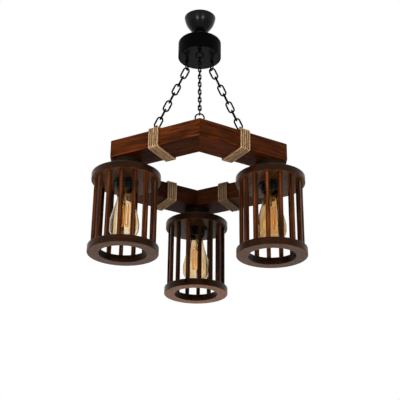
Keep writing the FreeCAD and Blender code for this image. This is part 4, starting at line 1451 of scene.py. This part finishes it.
def make_nut(lamp, side):
    """Hexagon nut with its corners turned down."""
    chamfer = 0.0006
    bore_share = 1.01
    low, high = heights_of("tube_nuts")
    flat = lamp.nut_width / 2
    corner = flat / cos(HALF_CORNER)

    def six_sided(radius, height, turn):
        if radius <= lamp.tube_radius * bore_share:
            return radius
        from_flat = (turn + HALF_CORNER) % radians(SIXTH_TURN) - HALF_CORNER
        return min(radius, flat / cos(from_flat))

    outline = [Vector((lamp.tube_radius, low)), Vector((flat, low)), Vector((corner, low + chamfer)),
               Vector((corner, high - chamfer)), Vector((flat, high)), Vector((lamp.tube_radius, high))]
    turned_piece("tube_nut_" + side, "Zinc", "tube_nuts", outline, NUT_STEPS, lamp_middle(side),
                 reach=six_sided)


# Bulbs

GLASS_STEPS = 72
GLASS_BENDS = 6
CAP_STEPS = 48
CAP_ROWS = 44
STALK_STEPS = 40
STALK_BENDS = 6
FILAMENT_SIDES = 8
HAIRPIN_STEPS = 12


def glass_outline(side):
    """Outside of the glass from its neck to its tip, as radius and height points."""
    low, high = heights_of("bulb_glass_" + side)
    radius = span("bulb_glass_" + side, 0) / 2
    radius_shares = (0.41, 0.455, 0.62, 0.84, 0.97, 1.0, 0.93, 0.66, 0.0)
    drop_shares = (0.0, 0.12, 0.32, 0.53, 0.68, 0.78, 0.89, 0.97, 1.0)
    points = [Vector((radius_share * radius, high - drop_share * (high - low)))
              for radius_share, drop_share in zip(radius_shares, drop_shares)]
    return smooth_outline(points, GLASS_BENDS)


def make_glass(bulb, side):
    """Thin-walled pear of tinted glass, open at its neck inside the cap."""
    outside = glass_outline(side)
    inside = inset_outline(outside, bulb.glass_wall)
    inside[-1].x = 0.0
    inside[-1].y = outside[-1].y + bulb.glass_wall
    work = Work()
    work.add_turned([*reversed(outside), *inside], GLASS_STEPS, lamp_middle(side))
    work.lay_grain(lamp_middle(side), Z_AXIS, radial(0), 0.0, GLASS_TONES[side])
    work.piece("glass_envelope_" + side, "Amber glass", "bulb_glass_" + side, "bulb_" + side, crisp=False)


def make_cap(bulb, side):
    """Screw cap with a rolled thread and a contact tip."""
    tip_length = 0.003
    shoulder_height = 0.003
    hem = 0.001
    tip_chamfer = 0.0008
    tip_top_share = 0.7
    shoulder_share = 1.4
    thread_walls = 2.4
    rolled_share = 0.93
    low, high = heights_of("bulb_cap_" + side)
    wall = bulb.cap_wall
    shoulder = high - tip_length
    thread_top = high - tip_length - shoulder_height

    def rolled(radius, height, turn):
        if radius < bulb.cap_radius * rolled_share or height > thread_top or height < low + hem:
            return radius
        return threads(radius, height, turn, bulb.cap_pitch, bulb.cap_thread_depth)

    outside = [(bulb.cap_radius, low + (thread_top - low) * row / CAP_ROWS)
               for row in range(1, CAP_ROWS + 1)]
    outside += [(bulb.tip_radius * shoulder_share, shoulder), (bulb.tip_radius, shoulder),
                (bulb.tip_radius, high - tip_chamfer), (bulb.tip_radius * tip_top_share, high), (0.0, high)]
    inside = [(0.0, high - wall), (bulb.tip_radius - wall, shoulder - wall),
              (bulb.cap_radius - wall * thread_walls, thread_top - wall),
              (bulb.cap_radius - wall * thread_walls, low), (bulb.cap_radius, low)]
    outline = [Vector(point) for point in inside + outside]
    turned_piece("screw_cap_" + side, "Brass", "bulb_cap_" + side, outline, CAP_STEPS,
                 lamp_middle(side), "bulb_" + side, closed=False, reach=rolled)


def make_stalk(bulb, side):
    """Glass stalk that flares out to the neck."""
    rim_bend = 0.0006
    throat_bend = 0.006
    waist_bend = 0.012
    foot_bend = 0.002
    tip_bend = 0.001
    throat_share = 2.2
    throat_drop = 0.16
    waist_drop = 0.34
    foot_height = 0.004
    tip_height = 0.0015
    tip_share = 1.5
    low, high = heights_of("bulb_stalk_" + side)
    flare = glass_outline(side)[0].x - bulb.glass_wall
    radius = bulb.stalk_radius
    length_down = high - low
    outline = rounded_outline([
        (0.0, high, 0.0), (flare, high, rim_bend),
        (radius * throat_share, high - length_down * throat_drop, throat_bend),
        (radius, high - length_down * waist_drop, waist_bend), (radius, low + foot_height, foot_bend),
        (radius * tip_share, low + tip_height, tip_bend), (0.0, low, 0.0),
    ], steps=STALK_BENDS)
    turned_piece("glass_stalk_" + side, "Clear glass", "bulb_stalk_" + side, outline, STALK_STEPS,
                 lamp_middle(side), "bulb_" + side, crisp=False, closed=False)


def make_filament(bulb, side):
    """Hairpin filaments round the stalk."""
    node = "bulb_filament_" + side
    low, high = heights_of(node)
    centre = lamp_middle(side)
    bend = (bulb.outer_radius - bulb.inner_radius) / 2
    top = high - bulb.press_drop
    bottom = low + bulb.wire / 2 + bend
    work = Work()
    for k in range(bulb.hairpins):
        azimuth = WHOLE_TURN * (k + 0.5) / bulb.hairpins
        path = [centre + radial(azimuth) * bulb.inner_radius + Z_AXIS * top]
        middle = centre + radial(azimuth) * (bulb.inner_radius + bend) + Z_AXIS * bottom
        for step in range(HAIRPIN_STEPS + 1):
            turn = pi * step / HAIRPIN_STEPS
            path.append(middle - radial(azimuth) * (bend * cos(turn)) - Z_AXIS * (bend * sin(turn)))
        path.append(centre + radial(azimuth) * bulb.outer_radius + Z_AXIS * top)
        work.add_tube(path, bulb.wire / 2, FILAMENT_SIDES, first_side=tangent(azimuth))
    work.piece("hairpin_filament_" + side, "Filament", node, "bulb_" + side, crisp=False)


# Canopy and ceiling cup

COVER_STEPS = 128
COVER_BENDS = 8
PLATE_STEPS = 96
PLATE_BENDS = 3
CUP_STEPS = 112
CUP_BENDS = 8
RIM_BENDS = 4
COLLAR_BENDS = 5
LOOP_STEPS = 48
TONGUE_STEPS = 16
PIN_HOLE_STEPS = 24


def make_cover(canopy):
    """Spun cover with a rounded top edge and a softened bottom edge."""
    low, high = heights_of("canopy_cover")
    wall = canopy.wall
    hem = wall * 0.45
    radius = canopy.radius
    bore = canopy.stem_radius + canopy.stem_gap
    outline = rounded_outline([
        (bore, high, 0.0), (radius, high, canopy.edge), (radius, low, hem), (radius - wall, low, hem),
        (radius - wall, high - wall, canopy.edge - wall), (bore, high - wall, 0.0),
    ], closed=True, steps=COVER_BENDS)
    turned_piece("spun_cover", "Black paint", "canopy_cover", outline, COVER_STEPS)


def make_base(canopy):
    """Bottom plate of the canopy, with the boss that takes the stem."""
    thickness = 0.004
    rim_bend = 0.0006
    seat_bend = 0.0004
    boss_bend = 0.0008
    low, _ = heights_of("canopy_base")
    radius = canopy.radius - canopy.wall
    top = low + thickness
    boss_top = top + canopy.boss_height
    floor = top + canopy.boss_floor - thickness / 2
    outline = rounded_outline([
        (0.0, low, 0.0), (radius, low, rim_bend), (radius, top, seat_bend),
        (canopy.boss_radius, top, rim_bend), (canopy.boss_radius, boss_top, boss_bend),
        (canopy.stem_radius, boss_top, 0.0), (canopy.stem_radius, floor, 0.0), (0.0, floor, 0.0),
    ], steps=PLATE_BENDS)
    # The plate's lighter paint is painted light on the underside
    turned_piece("bottom_plate", "Plate paint", "canopy_base", outline, PLATE_STEPS, closed=False)


def make_cup(canopy):
    """Smooth bowl that is open to the ceiling, with a collar round the stem."""
    collar_bend = 0.002
    foot_bend = 0.0006
    bore_bend = 0.0003
    inner_bend = 0.0005
    radius_shares = (1.0, 0.947, 0.816, 0.553)
    depth_shares = (0.0, 0.209, 0.488, 0.814)
    low, high = heights_of("ceiling_cup")
    bottom = high - canopy.cup_depth
    bore = canopy.stem_radius + canopy.stem_gap
    wall = canopy.cup_wall
    lip = wall * 0.4
    points = [Vector((radius_share * canopy.cup_radius, high - depth_share * canopy.cup_depth))
              for radius_share, depth_share in zip(radius_shares, depth_shares)]
    points.append(Vector((canopy.collar_radius + wall, bottom)))
    outside = smooth_outline(points, CUP_BENDS)
    inside = inset_outline(outside, wall)[:-2]
    rim = rounded_outline([
        (*outside[0], lip), (*outside[1], 0.0), (*inside[1], 0.0), (inside[0].x, high, lip),
    ], closed=True, steps=RIM_BENDS)
    rim_outside = rim[:RIM_BENDS + 1]
    rim_inside = rim[-RIM_BENDS - 1:]
    collar = rounded_outline([
        (*outside[-2], 0.0), (canopy.collar_radius, bottom, collar_bend),
        (canopy.collar_radius, low, foot_bend), (bore, low, bore_bend), (bore, bottom + wall, inner_bend),
        (*inside[-1], 0.0),
    ], steps=COLLAR_BENDS)
    outline = rim_outside + outside[1:-2] + collar[:-1] + inside[:0:-1] + rim_inside
    turned_piece("ceiling_bowl", "Cup moulding", "ceiling_cup", outline, CUP_STEPS, body="cup",
                 crisp=False)


def make_loop(canopy):
    """Flat steel eye with a tongue."""
    half = canopy.loop_thickness / 2
    tip = canopy.tongue / 2
    waist = tip / canopy.loop_radius
    outside = []
    for step in range(LOOP_STEPS + 1):
        turn = waist + 2 * (pi - waist) * step / LOOP_STEPS
        outside.append(Vector((canopy.loop_radius * sin(turn), 0.0, -canopy.loop_radius * cos(turn))))
    for step in range(TONGUE_STEPS + 1):
        turn = pi * step / TONGUE_STEPS
        outside.append(Vector((-tip * cos(turn), 0.0, -canopy.pin_drop - tip * sin(turn))))
    work = Work()
    mesh = work.mesh
    across = radial(QUARTER_TURN)
    eye = circle_path(ORIGIN, across, Z_AXIS, canopy.loop_bore, LOOP_STEPS)
    pin_hole = circle_path(Z_AXIS * -canopy.pin_drop, across, Z_AXIS, canopy.pin_hole, PIN_HOLE_STEPS)
    levels = []
    for y in (-half, half):
        levels.append([[mesh.verts.new(point + Vector((0.0, y, 0.0))) for point in ring]
                       for ring in (outside, eye, pin_hole)])
    for front, back in zip(*levels):
        work.skin((front, back))
    for rings in levels:
        edges = [mesh.edges.get((ring[k], ring[(k + 1) % len(ring)])) for ring in rings
                 for k in range(len(ring))]
        bmesh.ops.triangle_fill(mesh, edges=edges, use_beauty=True)
    work.piece("steel_eye", "Zinc", "hanging_loop", "hanger")


# Chains and eyes

BEND_STEPS = 10
STRAIGHT_STEPS = 8
LINK_SIDES = 12
# A link's weld: its point of the path, and its length and height as shares of the wire
WELD_POINT = 14
WELD_LENGTH = 0.45
WELD_HEIGHT = 0.13
EYE_SIDES = 14
BOLT_EYE_STEPS = 40
SCREW_EYE_STEPS = 44
SHANK_STEPS = 32
SHANK_BENDS = 4


def circle_path(centre, across, up, radius, steps):
    """Points round a circle."""
    path = []
    for k in range(steps):
        turn = 2 * pi * k / steps
        path.append(centre + across * (radius * cos(turn)) + up * (radius * sin(turn)))
    return path


def link_path(centre, along, across, wire, width, inner_length):
    """Points round one link: two half circles and two straight sides."""
    bend = (width - wire) / 2
    half_straight = inner_length / 2 + wire / 2 - bend
    path = []
    for sign in (1, -1):
        for step in range(BEND_STEPS + 1):
            turn = pi * step / BEND_STEPS
            path.append(centre + across * (sign * bend * cos(turn))
                        + along * (sign * (half_straight + bend * sin(turn))))
        for step in range(1, STRAIGHT_STEPS):
            rise = half_straight * (1 - 2 * step / STRAIGHT_STEPS)
            path.append(centre - across * (sign * bend) + along * (sign * rise))
    return path


def add_link(work, centre, along, across, wire, width, inner_length, seed):
    """One welded link, with a low bead where its wire was joined."""
    path = link_path(centre, along, across, wire, width, inner_length)
    weld = path[WELD_POINT]

    def thickness(i):
        off = (path[i] - weld).length / (wire * WELD_LENGTH)
        return wire / 2 * (1 + WELD_HEIGHT * exp(-off * off))

    work.add_tube(path, thickness, LINK_SIDES, closed=True, first_side=along.cross(across).normalized(),
                  seed=seed)


def chain_line(chain, azimuth):
    """Start and end of the straight line that a tight chain follows."""
    plate = heights_of("canopy_base")[0]
    frame_top = heights_of("beam_left")[1]
    start = (radial(azimuth) * chain.eye_circle
             + Z_AXIS * (plate - chain.canopy_eye_drop - chain.canopy_eye + chain.eye_wire / 2))
    mean = chain.frame_eye - chain.eye_wire / 2
    eye = radial(azimuth) * chain.frame_circle + Z_AXIS * (frame_top + chain.frame_eye_rise)
    end = eye + Z_AXIS * mean
    if azimuth:
        end = eye + (start - eye).normalized() * mean
    return start, end


def make_chain(chain, name):
    """Tight chain of welded links, each a quarter turn from the last."""
    azimuth = CHAIN_AZIMUTHS[name]
    if azimuth:
        wire, width, links = chain.rear_wire, chain.rear_width, chain.rear_links
        whole_turn = REAR_TURN_SIGNS[name] * chain.rear_turn
    else:
        wire, width, links = chain.front_wire, chain.front_width, chain.front_links
        whole_turn = chain.front_turn
    start, end = chain_line(chain, azimuth)
    along = (end - start).normalized()
    inner_length = ((end - start).length + chain.eye_wire + (links + 1) * chain.gap) / links
    sideways = tangent(azimuth)
    in_plane = along.cross(sideways).normalized()
    first = inner_length / 2 - chain.eye_wire / 2 - chain.gap
    work = Work()
    for k in range(links):
        turn = radians(QUARTER_TURN * k) + whole_turn * min(1, (links - 1 - k) / chain.turned_back)
        across = in_plane * cos(turn) + sideways * sin(turn)
        centre = start + along * (first + k * (inner_length - chain.gap))
        add_link(work, centre, along, across, wire, width, inner_length, float(k))
    work.piece("welded_chain_" + name, "Chain lacquer", "chain_" + name, crisp=False)


def make_eye_bolts(chain):
    """Three forged eyes under the canopy, with their collars and shanks."""
    neck_bend = 0.0008
    collar_bend = 0.0007
    seat_bend = 0.0003
    tip_bend = 0.0005
    plate = heights_of("canopy_base")[0]
    top = heights_of("canopy_eye_bolts")[1]
    neck = chain.eye_wire / 2
    mean = chain.canopy_eye - chain.eye_wire / 2
    ring_top = plate - chain.canopy_eye_drop + mean
    collar_low = plate - chain.collar_height
    outline = rounded_outline([
        (0.0, ring_top, 0.0), (neck, ring_top, 0.0), (neck, collar_low, neck_bend),
        (chain.collar, collar_low, collar_bend), (chain.collar, plate, seat_bend),
        (chain.shank, plate, 0.0), (chain.shank, top, tip_bend), (0.0, top, 0.0),
    ], steps=SHANK_BENDS)
    work = Work()
    for name, azimuth in CHAIN_AZIMUTHS.items():
        centre = radial(azimuth) * chain.eye_circle
        middle = centre + Z_AXIS * (plate - chain.canopy_eye_drop)
        turned = azimuth + REAR_TURN_SIGNS[name] * degrees(chain.rear_eye_turn)
        ring = circle_path(middle, tangent(turned), Z_AXIS, mean, BOLT_EYE_STEPS)
        work.add_tube(ring, chain.eye_wire / 2, EYE_SIDES, closed=True, first_side=radial(turned))
        work.add_turned(outline, SHANK_STEPS, centre)
    work.piece("forged_eye_bolts", "Chain lacquer", "canopy_eye_bolts")


def make_eye_screws(chain):
    """Three eye screws on the frame."""
    start_share = 0.4
    point_length = chain.shank * 2
    point_bend = 0.0005
    seat_bend = 0.0004
    neck_bend = 0.0008
    neck_share = 0.55
    low, _ = heights_of("frame_eye_screws")
    top = heights_of("beam_left")[1]
    mean = chain.frame_eye - chain.eye_wire / 2
    ring_bottom = top + chain.frame_eye_rise - mean
    flange_top = top + chain.flange_height
    outline = rounded_outline([
        (0.0, low, 0.0), (chain.shank * start_share, low, 0.0),
        (chain.shank, low + point_length, point_bend), (chain.shank, top, 0.0),
        (chain.flange, top, seat_bend), (chain.flange, flange_top, neck_bend),
        (chain.eye_wire * neck_share, flange_top, neck_bend), (chain.eye_wire / 2, ring_bottom, 0.0),
        (0.0, ring_bottom, 0.0),
    ], steps=SHANK_BENDS)
    work = Work()
    for name, azimuth in CHAIN_AZIMUTHS.items():
        centre = radial(azimuth) * chain.frame_circle
        across, facing = radial(azimuth), tangent(azimuth)
        if name == "front":
            across, facing = facing, across
        middle = centre + Z_AXIS * (top + chain.frame_eye_rise)
        ring = circle_path(middle, across, Z_AXIS, mean, SCREW_EYE_STEPS)
        work.add_tube(ring, chain.eye_wire / 2, EYE_SIDES, closed=True, first_side=facing)
        work.add_turned(outline, SHANK_STEPS, centre)
    work.piece("eye_screws", "Chain lacquer", "frame_eye_screws")


# Operators


class CHANDELIER_OT_stage(bpy.types.Operator):
    """Set up the camera, the lamps, the surroundings, the floor and the materials"""

    bl_idname = "chandelier.stage"
    bl_label = "Stage and Materials"

    def execute(self, context):
        settings = context.scene.chandelier
        stage = settings.stage
        add_camera(stage)
        add_world(stage)
        add_floor(stage)
        for name, azimuth in (("Left lamp", -stage.lamp_azimuth), ("Right lamp", stage.lamp_azimuth)):
            add_lamp(name, azimuth, stage.lamp_rise, stage.lamp_distance, stage.lamp_size, stage.lamp_power)
        key = add_lamp("Key lamp", stage.key_azimuth, stage.key_rise, stage.lamp_distance, stage.key_size,
                       stage.key_power)
        key.visible_glossy = False
        add_lamp("Rear lamp", pi, stage.rear_rise, stage.lamp_distance, stage.key_size, stage.rear_power)
        context.scene.view_settings.view_transform = "Standard"
        make_materials(settings)
        return {"FINISHED"}


class CHANDELIER_OT_timber(bpy.types.Operator):
    """Make the six mitred beams"""

    bl_idname = "chandelier.timber"
    bl_label = "Timber Frame"

    def execute(self, context):
        for side, name in enumerate(BEAM_NAMES):
            make_beam(context.scene.chandelier.timber, side, name)
        return {"FINISHED"}


class CHANDELIER_OT_twine(bpy.types.Operator):
    """Wind jute twine round the middle of every beam"""

    bl_idname = "chandelier.twine"
    bl_label = "Jute Windings"

    def execute(self, context):
        settings = context.scene.chandelier
        for side, name in enumerate(BEAM_NAMES):
            make_winding(settings.twine, settings.timber, side, name)
        return {"FINISHED"}


class CHANDELIER_OT_cages(bpy.types.Operator):
    """Make the spacers, discs, slats and rings of the lamp cages"""

    bl_idname = "chandelier.cages"
    bl_label = "Lamp Cages"

    def execute(self, context):
        cage = context.scene.chandelier.cage
        for number, side in enumerate(LAMP_SIDES):
            make_spacer(cage, side)
            make_wooden_ring(cage, "cage_disc_" + side, "top_disc", cage.disc_hole, side,
                             number + DISC_SEED)
            make_slats(cage, side, number * CAGE_SEED_STEP + SLAT_SEED)
            make_wooden_ring(cage, "cage_ring_" + side, "bottom_ring", cage.ring_hole, side,
                             number + RING_SEED)
        return {"FINISHED"}


class CHANDELIER_OT_fittings(bpy.types.Operator):
    """Make the lamp holders, shade rings, threaded tubes, washers and nuts"""

    bl_idname = "chandelier.fittings"
    bl_label = "Lamp Fittings"

    def execute(self, context):
        lamp = context.scene.chandelier.lamp
        for side in LAMP_SIDES:
            make_holder(lamp, side)
            make_shade_ring(lamp, side)
            make_tube(lamp, side)
            make_washer(lamp, side)
            make_nut(lamp, side)
        return {"FINISHED"}


class CHANDELIER_OT_bulbs(bpy.types.Operator):
    """Make the glass, cap, stalk and filament of every bulb"""

    bl_idname = "chandelier.bulbs"
    bl_label = "Bulbs"

    def execute(self, context):
        bulb = context.scene.chandelier.bulb
        for side in LAMP_SIDES:
            make_glass(bulb, side)
            make_cap(bulb, side)
            make_stalk(bulb, side)
            make_filament(bulb, side)
        return {"FINISHED"}


class CHANDELIER_OT_canopy(bpy.types.Operator):
    """Make the canopy, the ceiling cup and the hanging loop"""

    bl_idname = "chandelier.canopy"
    bl_label = "Canopy and Cup"

    def execute(self, context):
        canopy = context.scene.chandelier.canopy
        make_cover(canopy)
        make_base(canopy)
        make_cup(canopy)
        make_loop(canopy)
        return {"FINISHED"}


class CHANDELIER_OT_chains(bpy.types.Operator):
    """Make the three chains and the eyes at their ends"""

    bl_idname = "chandelier.chains"
    bl_label = "Chains and Eyes"

    def execute(self, context):
        chain = context.scene.chandelier.chain
        for name in CHAIN_AZIMUTHS:
            make_chain(chain, name)
        make_eye_bolts(chain)
        make_eye_screws(chain)
        return {"FINISHED"}


class CHANDELIER_OT_fixings(bpy.types.Operator):
    """Finish the solids that stay as they are"""

    bl_idname = "chandelier.fixings"
    bl_label = "Hidden Fixings"

    def execute(self, context):
        for node, finish in SOLID_FINISHES.items():
            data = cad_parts[node].data
            data.materials.clear()
            data.materials.append(bpy.data.materials[finish])
        return {"FINISHED"}


class CHANDELIER_PT_pieces(bpy.types.Panel):
    """Sizes and colours of the chandelier, and a button for each group of pieces"""

    bl_idname = "CHANDELIER_PT_pieces"
    bl_label = "Chandelier"
    bl_space_type = "VIEW_3D"
    bl_region_type = "UI"
    bl_category = "Chandelier"

    def draw(self, context):
        settings = context.scene.chandelier
        for operator, part in OPERATOR_PARTS:
            box = self.layout.box()
            box.operator(operator.bl_idname)
            if part is None:
                continue
            group = getattr(settings, part)
            for name in type(group).__annotations__:
                box.prop(group, name)


OPERATOR_PARTS = (
    (CHANDELIER_OT_stage, "stage"),
    (CHANDELIER_OT_timber, "timber"),
    (CHANDELIER_OT_twine, "twine"),
    (CHANDELIER_OT_cages, "cage"),
    (CHANDELIER_OT_fittings, "lamp"),
    (CHANDELIER_OT_bulbs, "bulb"),
    (CHANDELIER_OT_canopy, "canopy"),
    (CHANDELIER_OT_chains, "chain"),
    (CHANDELIER_OT_fixings, None),
)
CLASSES = (
    StageSettings, TimberSettings, TwineSettings, CageSettings, LampSettings, BulbSettings,
    CanopySettings, ChainSettings, ChandelierSettings,
    *(operator for operator, _ in OPERATOR_PARTS), CHANDELIER_PT_pieces,
)


def register():
    """Register the classes and hang the settings on the scene."""
    for one in CLASSES:
        bpy.utils.register_class(one)
    bpy.types.Scene.chandelier = PointerProperty(type=ChandelierSettings)


def unregister():
    """Take the settings and the classes away again."""
    del bpy.types.Scene.chandelier
    for one in reversed(CLASSES):
        bpy.utils.unregister_class(one)


def main():
    """Make the whole scene."""
    register()
    bpy.ops.chandelier.stage()
    bpy.ops.chandelier.timber()
    bpy.ops.chandelier.twine()
    bpy.ops.chandelier.cages()
    bpy.ops.chandelier.fittings()
    bpy.ops.chandelier.bulbs()
    bpy.ops.chandelier.canopy()
    bpy.ops.chandelier.chains()
    bpy.ops.chandelier.fixings()


if __name__ == "__main__":
    main()
